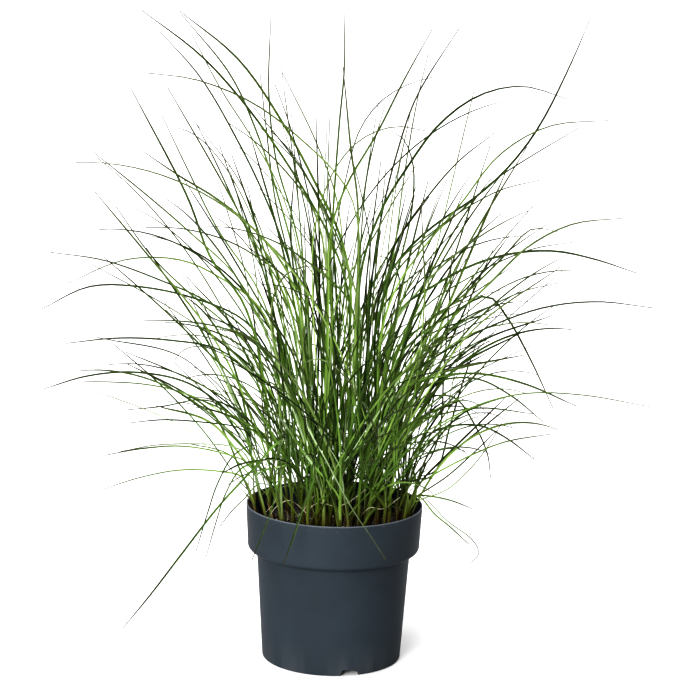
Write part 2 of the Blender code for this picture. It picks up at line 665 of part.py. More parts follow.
def drain_cutter_mesh():
    """A short upright drill for one hole through the base."""
    mesh = bmesh.new()
    bmesh.ops.create_cone(mesh, cap_ends=True, segments=12, radius1=DRAIN_RADIUS * MM,
                          radius2=DRAIN_RADIUS * MM, depth=6.0 * WALL * MM)
    return finished_mesh("drain_cutter", mesh)


# ---- objects ----
def finish(name, colour, roughness):
    material = bpy.data.materials.new(name)
    material.use_nodes = True
    shader = material.node_tree.nodes["Principled BSDF"]
    shader.inputs["Base Color"].default_value = (*colour, 1.0)
    shader.inputs["Roughness"].default_value = roughness
    shader.inputs["Metallic"].default_value = 0.0
    return material


def placed_object(name, data, material=None):
    item = bpy.data.objects.new(name, data)
    bpy.context.scene.collection.objects.link(item)
    if material:
        data.materials.append(material)
    return item


def cut(target, data, place, turn):
    """A guide body that a Boolean takes out of target."""
    cutter = placed_object(data.name, data)
    cutter.location = place
    cutter.rotation_euler = (0.0, 0.0, turn)
    cutter.hide_render = True
    cutter.display_type = "WIRE"
    hole = target.modifiers.new("cut", "BOOLEAN")
    hole.operation = "DIFFERENCE"
    hole.solver = "EXACT"
    hole.object = cutter


def build_pot():
    material = finish("moulded plastic", (0.045, 0.053, 0.063), 0.5)
    data = turned_mesh("pot", pot_outline())
    data.shade_smooth()
    data.set_sharp_from_angle(angle=math.radians(SHARP_ANGLE))
    pot = placed_object("pot", data, material)
    front = math.radians(NOTCH_ANGLE - 90.0)
    for number in range(NOTCH_COUNT):
        turn = front + number * 2 * math.pi / NOTCH_COUNT
        cut(pot, notch_cutter_mesh(), (0.0, 0.0, 0.0), turn)
    for number in range(DRAIN_COUNT):
        turn = front + (number + 0.5) * 2 * math.pi / DRAIN_COUNT
        place = Vector((math.cos(turn) * DRAIN_CIRCLE, math.sin(turn) * DRAIN_CIRCLE, BASE_UNDERSIDE))
        cut(pot, drain_cutter_mesh(), place * MM, turn)


def build_soil():
    material = finish("potting soil", (0.022, 0.015, 0.01), 0.95)
    placed_object("soil", turned_mesh("soil", soil_outline()), material)


def build_tillers():
    greens = [
        finish("leaf green", (0.10, 0.17, 0.03), 0.45),
        finish("deep leaf green", (0.05, 0.11, 0.02), 0.45),
        finish("pale leaf green", (0.16, 0.25, 0.05), 0.45),
    ]
    for number, tiller in enumerate(fitted_tillers(), start=1):
        name = f"tiller_{number:02d}"
        placed_object(name, tiller_mesh(name, tiller), greens[number % len(greens)])


def main():
    for item in list(bpy.data.objects):
        bpy.data.objects.remove(item, do_unlink=True)
    build_pot()
    build_soil()
    build_tillers()


main()
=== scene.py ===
"""The look of the potted ornamental grass clump, a fine-leaved arching sedge in a nursery pot.

The tillers' courses are worked out by the same plan as the CAD solids', and the detailed leaves are
built along them. All lengths are in millimetres until a mesh is made.
"""

import itertools
import math
import random

import bmesh
import bpy
import numpy as np
from mathutils import Euler, Matrix, Vector, noise
from numpy.linalg import norm


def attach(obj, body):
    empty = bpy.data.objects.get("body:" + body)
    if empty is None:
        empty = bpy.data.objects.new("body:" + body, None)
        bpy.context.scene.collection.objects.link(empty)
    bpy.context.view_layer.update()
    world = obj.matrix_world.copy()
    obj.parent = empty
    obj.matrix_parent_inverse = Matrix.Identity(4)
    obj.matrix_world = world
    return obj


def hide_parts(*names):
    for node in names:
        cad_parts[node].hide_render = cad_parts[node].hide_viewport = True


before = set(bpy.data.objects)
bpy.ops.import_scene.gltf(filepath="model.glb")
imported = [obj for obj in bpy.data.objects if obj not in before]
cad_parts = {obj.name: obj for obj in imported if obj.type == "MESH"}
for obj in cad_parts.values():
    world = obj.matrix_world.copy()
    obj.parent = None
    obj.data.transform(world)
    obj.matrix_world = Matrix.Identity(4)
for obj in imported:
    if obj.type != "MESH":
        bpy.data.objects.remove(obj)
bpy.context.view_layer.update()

MM = 0.001
FULL_TURN = 2.0 * math.pi

# ---- the pot and the soil ----
POT_HEIGHT = 170.5
RIM_RADIUS = 95.0
COLLAR_FOOT_RADIUS = 92.8
COLLAR_FOOT_HEIGHT = 127.5
BODY_TOP_RADIUS = 82.8
BODY_TOP_HEIGHT = 120.5
FOOT_RADIUS = 75.0
FOOT_CORNER = 1.6
WALL = 1.5
BASE_UNDERSIDE = 7.0
FOOT_RING_WIDTH = 3.4
NOTCH_COUNT = 3
NOTCH_ANGLE = 16.0
NOTCH_FOOT_WIDTH = 21.0
NOTCH_TOP_WIDTH = 14.5
NOTCH_HEIGHT = 6.6
DRAIN_COUNT = 6
DRAIN_RADIUS = 5.0
DRAIN_CIRCLE = 52.0
SOIL_TOP = 145.0

# ---- how the tillers' leaves are fitted past each other ----
TOUCH_GAP = 0.3
TILLER_WIDTH = 5.2
LONGEST_STEM = 85.0
SHORTEST_STEM = 12.0
STEM_BELOW_LEAVES = 8.0
STEEPEST_LEAN = 34.0
FIRST_PARTING = 0.62
RIM_CLEARANCE = 3.0
LEAF_SEGMENTS = 8
LEAF_CLEARANCE = 3.6
CROTCH_LENGTH = 28.0
STEM_LINE = 3.0
DEPTH_SHIFTS = range(-80, 81, 8)
BOWS = (0, -7, 7, -14, 14, -22, 22, -30, 30)
FURTHEST_DEPTH = 280.0
FIT_SAMPLES = 80
GAP_STEP = 3.0

# The tillers that fill the clump's middle: no fill stands left of and behind the bare corner.
# Their leaves' tilt from upright, droop and turn are in degrees.
FILL_SPOTS = 46
FILL_RADIUS = 70.0
FILL_SPACING = 10.8
BARE_CORNER = (-34.0, 6.0)
FILL_TURN = 32.0
FILL_TILT = (2.0, 30.0)
FILL_DROOP = 85.0
FILL_LENGTH = (170.0, 550.0)
FILL_WIDTH = (1.9, 3.1)
FILL_REACH = 272.0
FILL_POINTS = 3
FILL_POINT_STEP = 4
EDGE_LENGTH = 0.62
MIDDLE_SPREAD = 0.15
SEED = 3

# The front view is laid out in the plane Y = 0 as it looks from this point. A leaf that bends
# towards or away from the front keeps its outline as seen from there.
EYE = np.array([10.5, -2739.0, 923.6])

# Tillers given one by one: the foot (x, y) of the stem, then its leaves. A leaf is the depth Y that
# its tip reaches, its width, and its course (x, z) in the front view, from low on the leaf to
# its tip. All in millimetres.
PLACED_TILLERS = [
    ((-77, -15), [
        (-25, 1.8, [(-101, 190), (-142, 246), (-190, 297), (-240, 340)]),
        (65, 2.4, [(-103, 206), (-117, 240), (-134, 268), (-170, 292), (-224, 318)]),
        (-80, 2.0, [(-96, 212), (-120, 222), (-165, 229), (-210, 225), (-248, 217)]),
    ]),
    ((-68, -40), [
        (5, 2.8, [(-92, 240), (-120, 272), (-160, 299), (-215, 309), (-265, 304), (-315, 288)]),
        (95, 2.0, [(-100, 245), (-135, 275), (-165, 288), (-205, 296), (-278, 298)]),
        (-100, 1.8, [(-93, 244), (-108, 252), (-140, 256), (-185, 258), (-220, 254)]),
    ]),
    ((-52, -58), [
        (-70, 2.4, [(-80, 215), (-92, 262), (-112, 312), (-145, 366), (-200, 432), (-260, 503)]),
        (50, 2.8, [(-78, 300), (-88, 350), (-104, 392), (-136, 434), (-162, 500), (-222, 612)]),
        (-130, 2.2, [(-72, 260), (-92, 308), (-127, 336), (-180, 345), (-235, 346), (-290, 339)]),
    ]),
    ((-58, 4), [
        (10, 3.0, [(-58, 280), (-72, 330), (-100, 368), (-150, 390), (-210, 402), (-265, 401),
                   (-315, 376)]),
        (145, 2.2, [(-66, 340), (-86, 385), (-120, 410), (-165, 431), (-225, 431), (-290, 403)]),
        (-60, 2.2, [(-75, 350), (-110, 415), (-160, 462), (-205, 500), (-262, 545)]),
    ]),
    ((-42, -58), [
        (-95, 2.2, [(-45, 350), (-60, 400), (-90, 452), (-130, 523), (-184, 614)]),
        (-20, 2.0, [(-62, 300), (-95, 355), (-140, 388), (-190, 410), (-250, 430), (-306, 437)]),
        (-115, 2.2, [(-56, 295), (-86, 345), (-130, 361), (-170, 366), (-207, 366)]),
    ]),
    ((-34, -12), [
        (-40, 2.2, [(-45, 440), (-66, 511), (-95, 562), (-130, 615), (-165, 680)]),
        (80, 2.8, [(-42, 380), (-57, 424), (-90, 465), (-131, 498), (-170, 521), (-208, 546)]),
        (-115, 2.0, [(-32, 370), (-48, 408), (-80, 432), (-120, 454), (-170, 466), (-206, 466)]),
    ]),
    ((-50, 44), [
        (110, 2.2, [(-75, 400), (-92, 450), (-109, 487), (-135, 542), (-154, 578)]),
        (175, 2.0, [(-68, 350), (-87, 403), (-130, 466), (-160, 524), (-190, 585)]),
        (95, 2.0, [(-80, 320), (-115, 360), (-155, 393), (-200, 436), (-237, 487)]),
    ]),
    ((-22, 30), [
        (65, 2.4, [(-45, 420), (-66, 499), (-90, 568), (-119, 629), (-170, 690)]),
        (135, 2.2, [(-40, 370), (-53, 430), (-80, 500), (-110, 560), (-150, 626), (-195, 675)]),
        (30, 2.4, [(-35, 400), (-51, 478), (-70, 540), (-79, 610), (-78, 695)]),
    ]),
    ((14, -24), [
        (-40, 3.0, [(12, 340), (8, 405), (-12, 460), (-45, 517), (-100, 594), (-150, 648), (-212, 694)]),
        (-90, 2.2, [(19, 400), (18, 470), (4, 514), (-44, 563), (-95, 600), (-154, 623), (-206, 629)]),
        (-25, 3.0, [(17, 380), (18, 441), (16, 500), (7, 560), (-2, 640)]),
    ]),
    ((4, 14), [
        (95, 3.0, [(12, 400), (0, 460), (-25, 512), (-60, 575), (-110, 645), (-172, 694)]),
        (65, 2.4, [(-10, 420), (-8, 500), (-4, 580), (0, 640), (-2, 702)]),
        (-40, 2.2, [(-6, 450), (4, 520), (18, 575), (40, 606), (70, 625), (93, 632)]),
    ]),
    ((27, -52), [
        (30, 2.2, [(35, 430), (45, 500), (55, 545), (75, 610), (118, 684)]),
        (25, 3.0, [(22, 420), (42, 490), (66, 533), (100, 582), (140, 613), (185, 624), (237, 611)]),
        (-95, 2.6, [(22, 400), (22, 450), (26, 520), (33, 560), (43, 600)]),
    ]),
    ((-10, -64), [
        (-25, 2.4, [(-12, 400), (-12, 460), (2, 510), (36, 573), (62, 628), (90, 682)]),
        (-100, 2.2, [(-28, 400), (-27, 470), (-8, 531), (20, 565), (55, 579), (88, 575)]),
        (-5, 2.2, [(-14, 420), (-28, 486), (-60, 530), (-92, 560), (-122, 580)]),
    ]),
    ((46, -22), [
        (-25, 2.4, [(45, 350), (60, 407), (87, 450), (125, 498), (165, 552), (215, 583), (277, 591)]),
        (50, 2.8, [(42, 395), (66, 443), (100, 477), (140, 506), (175, 540), (205, 583),
                   (235, 648), (254, 698)]),
        (105, 2.0, [(48, 400), (82, 452), (122, 488), (160, 525), (200, 553), (247, 583)]),
    ]),
    ((38, 26), [
        (135, 2.2, [(32, 400), (54, 450), (80, 492), (120, 543), (158, 575)]),
        (-70, 2.2, [(38, 390), (64, 438), (100, 471), (140, 500), (170, 516), (210, 527)]),
        (145, 1.8, [(50, 400), (58, 460), (64, 520), (75, 600), (86, 655)]),
    ]),
    ((59, -37), [
        (-115, 2.4, [(69, 222), (77, 250), (83, 290), (89, 350), (91, 410), (88, 450), (84, 500)]),
        (-40, 3.0, [(52, 335), (66, 385), (100, 411), (140, 434), (180, 447), (225, 451),
                    (270, 443), (313, 430)]),
        (-40, 2.4, [(62, 325), (82, 353), (120, 381), (157, 401), (178, 379), (205, 333), (231, 281)]),
    ]),
    ((56, 20), [
        (50, 2.4, [(62, 340), (93, 370), (130, 400), (170, 441), (199, 473), (212, 475), (228, 472)]),
        (105, 1.8, [(68, 340), (100, 378), (140, 403), (179, 432)]),
        (145, 2.0, [(72, 330), (100, 360), (128, 372), (150, 380), (172, 384)]),
    ]),
    ((53, -56), [
        (-132, 2.6, [(60, 285), (77, 312), (110, 338), (160, 368), (220, 391), (275, 398), (332, 393)]),
        (-80, 2.8, [(52, 270), (67, 297), (100, 313), (140, 325), (197, 338)]),
        (-122, 3.4, [(60, 222), (80, 240), (110, 260), (150, 282), (200, 296), (260, 296), (335, 285)]),
    ]),
    ((68, 2), [
        (-55, 2.6, [(65, 275), (80, 302), (110, 313), (150, 317), (200, 307), (256, 284)]),
        (70, 2.2, [(72, 270), (87, 297), (115, 310), (150, 311), (185, 294), (222, 265)]),
        (-120, 2.2, [(68, 245), (84, 261), (115, 272), (155, 279), (211, 274)]),
    ]),
    ((72, -27), [
        (-80, 2.8, [(82, 187), (102, 202), (140, 224), (180, 242), (233, 253)]),
        (-130, 2.4, [(87, 228), (102, 244), (130, 260), (163, 275)]),
        (-25, 1.8, [(84, 172), (94, 177), (120, 188), (145, 212), (165, 240), (177, 263)]),
    ]),
    ((75, 18), [
        (70, 2.0, [(95, 200), (125, 230), (165, 265), (197, 293)]),
        (135, 1.8, [(86, 178), (98, 187), (120, 203), (145, 227), (172, 255)]),
        (10, 2.2, [(80, 272), (99, 290), (126, 290), (149, 259), (163, 228), (167, 203)]),
    ]),
    ((78, -13), [
        (0, 2.0, [(84, 178), (93, 181), (106, 180), (125, 176), (149, 167)]),
        (-60, 1.8, [(84, 178), (92, 179), (108, 161), (125, 147), (146, 128)]),
        (50, 1.8, [(84, 178), (92, 181), (102, 173), (122, 153), (150, 132), (157, 118), (149, 107)]),
    ]),
    ((-75, 14), [
        (-80, 1.8, [(-85, 232), (-108, 222), (-126, 190), (-138, 152), (-149, 112)]),
        (50, 1.8, [(-108, 250), (-125, 275), (-145, 281), (-185, 273), (-224, 268)]),
        (130, 1.8, [(-95, 250), (-112, 285), (-128, 318), (-150, 348), (-184, 378)]),
    ]),
    ((-26, -74), [
        (-150, 2.4, [(-50, 236), (-60, 237), (-88, 206), (-125, 163), (-165, 108), (-198, 62), (-227, 24)]),
        (-118, 2.2, [(-14, 225), (-20, 205), (-32, 170), (-44, 130), (-54, 100)]),
    ]),
    ((-55, -40), [
        (-128, 1.8, [(-52, 215), (-60, 195), (-68, 160), (-79, 128), (-88, 104)]),
        (-100, 1.8, [(-80, 190), (-98, 172), (-112, 157), (-124, 140)]),
    ]),
    ((19, -74), [
        (-138, 1.8, [(-12, 240), (-30, 266), (-33, 262), (-8, 214), (8, 184), (22, 160),
                     (40, 134), (57, 108)]),
        (-100, 1.6, [(16, 225), (26, 242), (38, 262), (52, 285)]),
    ]),
    ((66, 38), [
        (95, 2.0, [(103, 225), (112, 265), (113, 310), (116, 380), (118, 453)]),
        (160, 2.0, [(95, 250), (107, 305), (124, 343), (141, 370)]),
        (110, 2.2, [(107, 208), (121, 256), (132, 300), (146, 347)]),
    ]),
    ((18, 52), [
        (185, 1.8, [(5, 420), (-5, 500), (-30, 565), (-67, 637)]),
        (95, 2.2, [(62, 430), (75, 500), (73, 545), (60, 570), (43, 575)]),
        (160, 1.8, [(-14, 430), (-15, 520), (-14, 600)]),
    ]),
    ((-10, 62), [
        (150, 2.2, [(5, 430), (-15, 485), (-45, 535), (-95, 597)]),
        (190, 2.0, [(-25, 420), (-45, 520), (-64, 580)]),
        (130, 2.0, [(-50, 420), (-70, 500), (-80, 570), (-88, 632)]),
    ]),
]

# Leaves that reach furthest forward and back, from tillers of their own: foot (x, y), then each
# leaf's width and its course (x, y, z).
FRONT_AND_BACK = [
    ((6, -76), [
        (2.4, [(14, -130, 270), (26, -205, 330), (42, -280, 312)]),
        (2.2, [(0, -120, 300), (-14, -165, 380), (-30, -205, 430)]),
    ]),
    ((-6, 77), [
        (2.4, [(-10, 130, 270), (-20, 205, 336), (-34, 280, 318)]),
        (2.2, [(4, 120, 310), (16, 160, 400), (34, 200, 470)]),
    ]),
]


# ---- the course of stems and leaves ----
# A placed leaf has left its foot's depth a little before its first point, and parts from it faster
# towards its tip.
LEAST_START = 20.0
START_SHARE = 0.6
DEPTH_POWER = 1.15
# An arched leaf's tilt grows with this power of the share of its length.
BOWING = 1.6
LEAN_STEP = 0.9
BELOW_PARTING = 0.15
SPAN_SAMPLES = 13


def between(low, high, share):
    return low + (high - low) * share


def pushed_to_depth(x, z, y):
    """The point at depth y that looks from EYE as (x, 0, z) does."""
    flat = np.array([x, 0.0, z])
    return EYE + (flat - EYE) * (1.0 - y / EYE[1])


def run_lengths(line):
    """How far along a line of points each of them lies."""
    return np.concatenate([[0.0], np.cumsum(norm(np.diff(line, axis=0), axis=1))])


def evenly_spaced(line, samples):
    """A line of points read again at even distances."""
    along = run_lengths(line)
    even = np.linspace(0.0, along[-1], samples)
    return np.stack([np.interp(even, along, line[:, k]) for k in range(3)], axis=1)


def smooth_course(points, samples):
    """Points spaced evenly along a centripetal Catmull-Rom curve through the given ones."""
    points = np.asarray(points, float)
    ends = [2 * points[0] - points[1], *points, 2 * points[-1] - points[-2]]
    spans = [points[:1]]
    for before, start, end, after in zip(ends, ends[1:], ends[2:], ends[3:]):
        t1 = math.sqrt(norm(start - before))
        t2 = t1 + math.sqrt(norm(end - start))
        t3 = t2 + math.sqrt(norm(after - end))
        t = np.linspace(t1, t2, SPAN_SAMPLES)[1:, None]
        a = (before * (t1 - t) + start * t) / t1
        b = (start * (t2 - t) + end * (t - t1)) / (t2 - t1)
        c = (end * (t3 - t) + after * (t - t2)) / (t3 - t2)
        low = (a * (t2 - t) + b * t) / t2
        high = (b * (t3 - t) + c * (t - t1)) / (t3 - t1)
        spans.append((low * (t2 - t) + high * (t - t1)) / (t2 - t1))
    return evenly_spaced(np.concatenate(spans), samples)


def arched_course(start, azimuth, tilt, droop, length, samples, sway=0.0):
    """A leaf's course: it leaves at a tilt from upright and bows over more and more to its tip."""
    share = np.linspace(0.0, 1.0, samples)
    tilts = tilt + droop * share ** BOWING
    turns = azimuth + sway * share
    across, up = np.sin(tilts), np.cos(tilts)
    ways = np.stack([across * np.cos(turns), across * np.sin(turns), up], axis=1)
    steps = (ways[1:] + ways[:-1]) / 2 * length / (samples - 1)
    return start + np.concatenate([np.zeros((1, 3)), np.cumsum(steps, axis=0)])


def placed_leaf(foot_y, depth, width, course):
    """A listed leaf in space: its depth grows from its foot's to the tip's along its course."""
    flat = np.array(course, float)
    lengths = run_lengths(flat)
    start = max(flat[0, 1] - SOIL_TOP, LEAST_START) * START_SHARE
    depths = between(foot_y, depth, ((start + lengths) / (start + lengths[-1])) ** DEPTH_POWER)
    points = [pushed_to_depth(x, z, y) for (x, z), y in zip(flat, depths)]
    return {"width": width, "points": np.array(points)}


def grown_leaf(draw, foot, centre_share):
    """A leaf of a tiller that fills the clump: upright in the middle, and arching at the edge."""
    azimuth = math.atan2(foot[1], foot[0]) + math.radians(draw.gauss(0.0, FILL_TURN))
    outer = 1.0 + MIDDLE_SPREAD - centre_share
    tilt = math.radians(draw.uniform(*FILL_TILT) * outer)
    droop = math.radians(FILL_DROOP * draw.random() * outer)
    shortest, longest = FILL_LENGTH
    longest = between(shortest, longest, between(EDGE_LENGTH, 1.0, centre_share))
    length = draw.uniform(shortest, longest)
    start = np.array([foot[0], foot[1], SOIL_TOP])
    samples = FILL_POINTS * FILL_POINT_STEP + 1
    course = arched_course(start, azimuth, tilt, droop, length, samples)
    reach = np.abs(course[-1, :2] - start[:2]) + np.abs(start[:2])
    if reach.max() > FILL_REACH:
        course = start + (course - start) * FILL_REACH / reach.max()
    width = draw.uniform(*FILL_WIDTH)
    return {"width": width, "points": course[FILL_POINT_STEP::FILL_POINT_STEP]}


def fill_feet(taken):
    """Sunflower-seed spots over the soil that keep clear of the tillers already set."""
    golden = math.pi * (3.0 - math.sqrt(5.0))
    feet = []
    for spot in range(FILL_SPOTS):
        radius = FILL_RADIUS * math.sqrt((spot + 0.5) / FILL_SPOTS)
        foot = np.array([radius * math.cos(spot * golden), radius * math.sin(spot * golden)])
        bare = foot[0] < BARE_CORNER[0] and foot[1] > BARE_CORNER[1]
        crowded = any(norm(foot - other) < FILL_SPACING for other in [*taken, *feet])
        if not bare and not crowded:
            feet.append(foot)
    return feet


def planned_tillers():
    """Every tiller's foot and its leaves' own points, before they are fitted past each other."""
    draw = random.Random(SEED)
    tillers = []
    for foot, leaves in FRONT_AND_BACK:
        courses = [{"width": width, "points": np.array(points, float)} for width, points in leaves]
        tillers.append({"foot": np.array(foot, float), "leaves": courses})
    for foot, leaves in PLACED_TILLERS:
        courses = [placed_leaf(foot[1], *leaf) for leaf in leaves]
        tillers.append({"foot": np.array(foot, float), "leaves": courses})
    for foot in fill_feet([tiller["foot"] for tiller in tillers]):
        centre_share = 1.0 - norm(foot) / FILL_RADIUS
        leaves = [grown_leaf(draw, foot, centre_share) for _ in range(draw.choice((2, 2, 3)))]
        tillers.append({"foot": foot, "leaves": leaves})
    return tillers


def set_stem(tiller):
    """The stem leans towards its leaves and ends below the lowest. The stray leaf parts first."""
    leaves = tiller["leaves"]
    firsts = np.array([leaf["points"][0] for leaf in leaves])
    base = np.array([*tiller["foot"], SOIL_TOP + TOUCH_GAP])
    lean = (firsts - base).mean(axis=0)
    flat = math.hypot(lean[0], lean[1])
    most = lean[2] * math.tan(math.radians(STEEPEST_LEAN))
    if flat > most:
        lean[:2] *= most / flat
    rim_inside = RIM_RADIUS - WALL - RIM_CLEARANCE - TILLER_WIDTH / 2
    while math.hypot(*(base + lean * (POT_HEIGHT - base[2]) / lean[2])[:2]) > rim_inside:
        lean[:2] *= LEAN_STEP
    top_height = min(firsts[:, 2].min() - STEM_BELOW_LEAVES, base[2] + LONGEST_STEM)
    lean *= max(top_height - base[2], SHORTEST_STEM) / lean[2]
    tiller["base"] = base
    tiller["lean"] = lean
    strays = norm((firsts - base - lean)[:, :2], axis=1)
    for number, leaf in enumerate(leaves):
        first = len(leaves) == 3 and number == np.argmax(strays)
        leaf["share"] = FIRST_PARTING if first else 1.0
        leaf["parting"] = base + lean * leaf["share"]


def leaf_route(tiller, leaf, depth_shift, bow, samples=LEAF_SEGMENTS + 1):
    """A leaf's course from its parting, shifted in depth along the line from EYE."""
    below = leaf["parting"] - tiller["lean"] * BELOW_PARTING
    points = np.array([leaf["parting"], *leaf["points"]])
    lengths = run_lengths(points)
    share = lengths / lengths[-1]
    shift = depth_shift * share + bow * np.sin(math.pi * share)
    away = (points - EYE) / (points - EYE)[:, 1:2]
    points = points + away * shift[:, None]
    course = smooth_course([below, *points], 10 * samples)
    start = np.argmin(norm(course - leaf["parting"], axis=1))
    return evenly_spaced(course[start:], samples)


def least_gap(route, starts, ends):
    """The least distance between a route and the straight segments that come near its box."""
    margin = 3.0 * LEAF_CLEARANCE
    beside = (np.minimum(starts, ends) < route.max(axis=0) + margin).all(axis=1)
    beside &= (np.maximum(starts, ends) > route.min(axis=0) - margin).all(axis=1)
    if not beside.any():
        return margin
    starts = starts[beside]
    along = ends[beside] - starts
    points = evenly_spaced(route, max(int(run_lengths(route)[-1] / GAP_STEP), 4))[:, None]
    share = ((points - starts) * along).sum(axis=2) / (along * along).sum(axis=1)
    nearest = starts + along * np.clip(share, 0.0, 1.0)[..., None]
    return math.sqrt(((points - nearest) ** 2).sum(axis=2).min())


def clears_pot(route, samples):
    """Whether a leaf keeps clear of the pot's wall and of the soil, looked at in samples places."""
    route = evenly_spaced(route, samples)
    radii = np.hypot(route[:, 0], route[:, 1])
    low = route[:, 2] < POT_HEIGHT + RIM_CLEARANCE
    outside = radii > RIM_RADIUS + RIM_CLEARANCE
    inside = radii < COLLAR_FOOT_RADIUS - WALL - RIM_CLEARANCE
    above_soil = route[:, 2] > SOIL_TOP + RIM_CLEARANCE
    return bool((~low | outside | (inside & above_soil)).all())


def fit_leaf(tiller, leaf, bends, own, others):
    """Bends a leaf in depth until it passes clear of the segments before it, or as clear as it can."""
    if leaf["share"] < 1.0:
        own[1][0] = tiller["base"] + tiller["lean"] * STEM_LINE
    widest = -1.0
    for bend in bends:
        route = leaf_route(tiller, leaf, *bend)
        too_deep = abs(route[:, 1]).max() > FURTHEST_DEPTH + 1.0
        if too_deep or not clears_pot(route, FIT_SAMPLES):
            continue
        apart = route[math.ceil(CROTCH_LENGTH / norm(route[1] - route[0])):]
        gap = min(least_gap(route, *others), least_gap(apart, *own))
        if gap > widest:
            widest, leaf["route"], leaf["bend"] = gap, route, bend
        if gap > LEAF_CLEARANCE:
            break


def arrange_leaves(tiller):
    """Sorts the leaves along the strip of the stem the way they lean, the stray one at its end."""
    heads = [leaf["route"][1] for leaf in tiller["leaves"]]
    strays = [head for head, leaf in zip(heads, tiller["leaves"]) if leaf["share"] < 1.0]
    if strays:
        across = strays[0] - (sum(heads) - strays[0]) / 2
    else:
        across = heads[1] - heads[0]
    tiller["leaves"].sort(key=lambda leaf: (leaf["share"] < 1.0, leaf["route"][1, :2] @ across[:2]))


def fitted_tillers():
    """The whole clump, with every leaf fitted clear of the stems and of the leaves before it."""
    tillers = planned_tillers()
    for tiller in tillers:
        set_stem(tiller)
    starts = [tiller["base"] for tiller in tillers]
    ends = [tiller["base"] + tiller["lean"] for tiller in tillers]
    owners = list(range(len(tillers)))
    bends = itertools.product(sorted(DEPTH_SHIFTS, key=abs), BOWS)
    bends = sorted(bends, key=lambda bend: abs(bend[0]) + 2 * abs(bend[1]))
    for number, tiller in enumerate(tillers):
        for leaf in tiller["leaves"]:
            mine = np.array(owners) == number
            own = np.array(starts)[mine], np.array(ends)[mine]
            others = np.array(starts)[~mine], np.array(ends)[~mine]
            fit_leaf(tiller, leaf, bends, own, others)
            starts.extend(leaf["route"][:-1])
            ends.extend(leaf["route"][1:])
            owners.extend([number] * LEAF_SEGMENTS)
        arrange_leaves(tiller)
    return tillers


# ---- materials ----
class Shader:
    """A material's nodes, added and wired by short calls."""

    def __init__(self, name):
        self.material = bpy.data.materials.new(name)
        self.material.use_nodes = True
        self.tree = self.material.node_tree
        self.surface = self.tree.nodes["Principled BSDF"]
        self.where = self.add("ShaderNodeTexCoord").outputs["Object"]

    def add(self, kind, inputs=None, **settings):
        node = self.tree.nodes.new(kind)
        for key, value in settings.items():
            setattr(node, key, value)
        for key, value in (inputs or {}).items():
            self.put(node.inputs[key], value)
        return node

    def put(self, socket, value):
        """Links an output to a socket, or sets a plain value on it."""
        if isinstance(value, bpy.types.NodeSocket):
            self.tree.links.new(value, socket)
        else:
            socket.default_value = value

    def attribute(self, name):
        return self.add("ShaderNodeAttribute", attribute_name=name).outputs["Fac"]

    def noise(self, scale, detail, stretch=None):
        """Noise over object coordinates, scaled first by a factor for each axis."""
        inputs = {"Vector": self.where, "Scale": scale, "Detail": detail, "Roughness": 0.55}
        if stretch:
            mapping = self.add("ShaderNodeMapping", {"Vector": self.where, "Scale": stretch})
            inputs["Vector"] = mapping.outputs[0]
        return self.add("ShaderNodeTexNoise", inputs).outputs["Fac"]

    def remap(self, value, low, high, to_low=0.0, to_high=1.0):
        inputs = {"Value": value, "From Min": low, "From Max": high, "To Min": to_low, "To Max": to_high}
        return self.add("ShaderNodeMapRange", inputs).outputs[0]

    def maths(self, operation, a, b=0.0):
        return self.add("ShaderNodeMath", {0: a, 1: b}, operation=operation).outputs[0]

    def plus(self, a, b):
        return self.maths("ADD", a, b)

    def times(self, a, b):
        return self.maths("MULTIPLY", a, b)

    def mix(self, share, low, high, blend="MIX"):
        node = self.add("ShaderNodeMix", data_type="RGBA", blend_type=blend)
        for key, value in (("Factor", share), ("A", low), ("B", high)):
            self.put(node.inputs[key], value)
        return node.outputs["Result"]

    def ramp(self, value, *stops):
        node = self.add("ShaderNodeValToRGB", {"Fac": value})
        band = node.color_ramp.elements
        while len(band) < len(stops):
            band.new(0.5)
        for element, (place, colour) in zip(band, stops):
            element.position = place
            element.color = colour
        return node.outputs["Color"]

    def bump(self, height, distance, strength):
        inputs = {"Height": height, "Distance": distance, "Strength": strength}
        return self.add("ShaderNodeBump", inputs).outputs[0]

    def done(self, colour, roughness, specular, normal=None):
        self.put(self.surface.inputs["Base Color"], colour)
        self.put(self.surface.inputs["Roughness"], roughness)
        self.put(self.surface.inputs["Specular IOR Level"], specular)
        if normal is not None:
            self.put(self.surface.inputs["Normal"], normal)
        return self.material


def tone(red, green, blue):
    """A colour given in 0 to 255 screen values, as linear light."""
    return (*((value / 255.0) ** 2.2 for value in (red, green, blue)), 1.0)


# Each leaf green's key, its material name, and its greens from shade to light.
LEAF_GREENS = {
    "leaf_green": ("leaf green", tone(25, 38, 12), tone(61, 85, 30), tone(97, 119, 58)),
    "leaf_deep_green": ("deep leaf green", tone(18, 29, 10), tone(50, 71, 26), tone(82, 105, 49)),
    "leaf_pale_green": ("pale leaf green", tone(33, 48, 17), tone(77, 102, 40), tone(114, 133, 77)),
}
# A pale grey green for the lightest leaves: partly their own waxy bloom, partly a painted sheen where
# leaves catch the light.
GLAUCOUS_AND_SHEEN = tone(120, 136, 102)
DRY_AND_SHADED_GREEN = tone(25, 29, 13)
# Dark olive on the outer blade: partly drying, partly painted shade.
DRY_TIP = tone(44, 34, 24)
# A painted highlight drawn along each blade's edges.
EDGE_HIGHLIGHT_GREEN = tone(96, 116, 74)
RED_STAIN = tone(84, 44, 30)
DARK_SHEATH = tone(33, 27, 15)


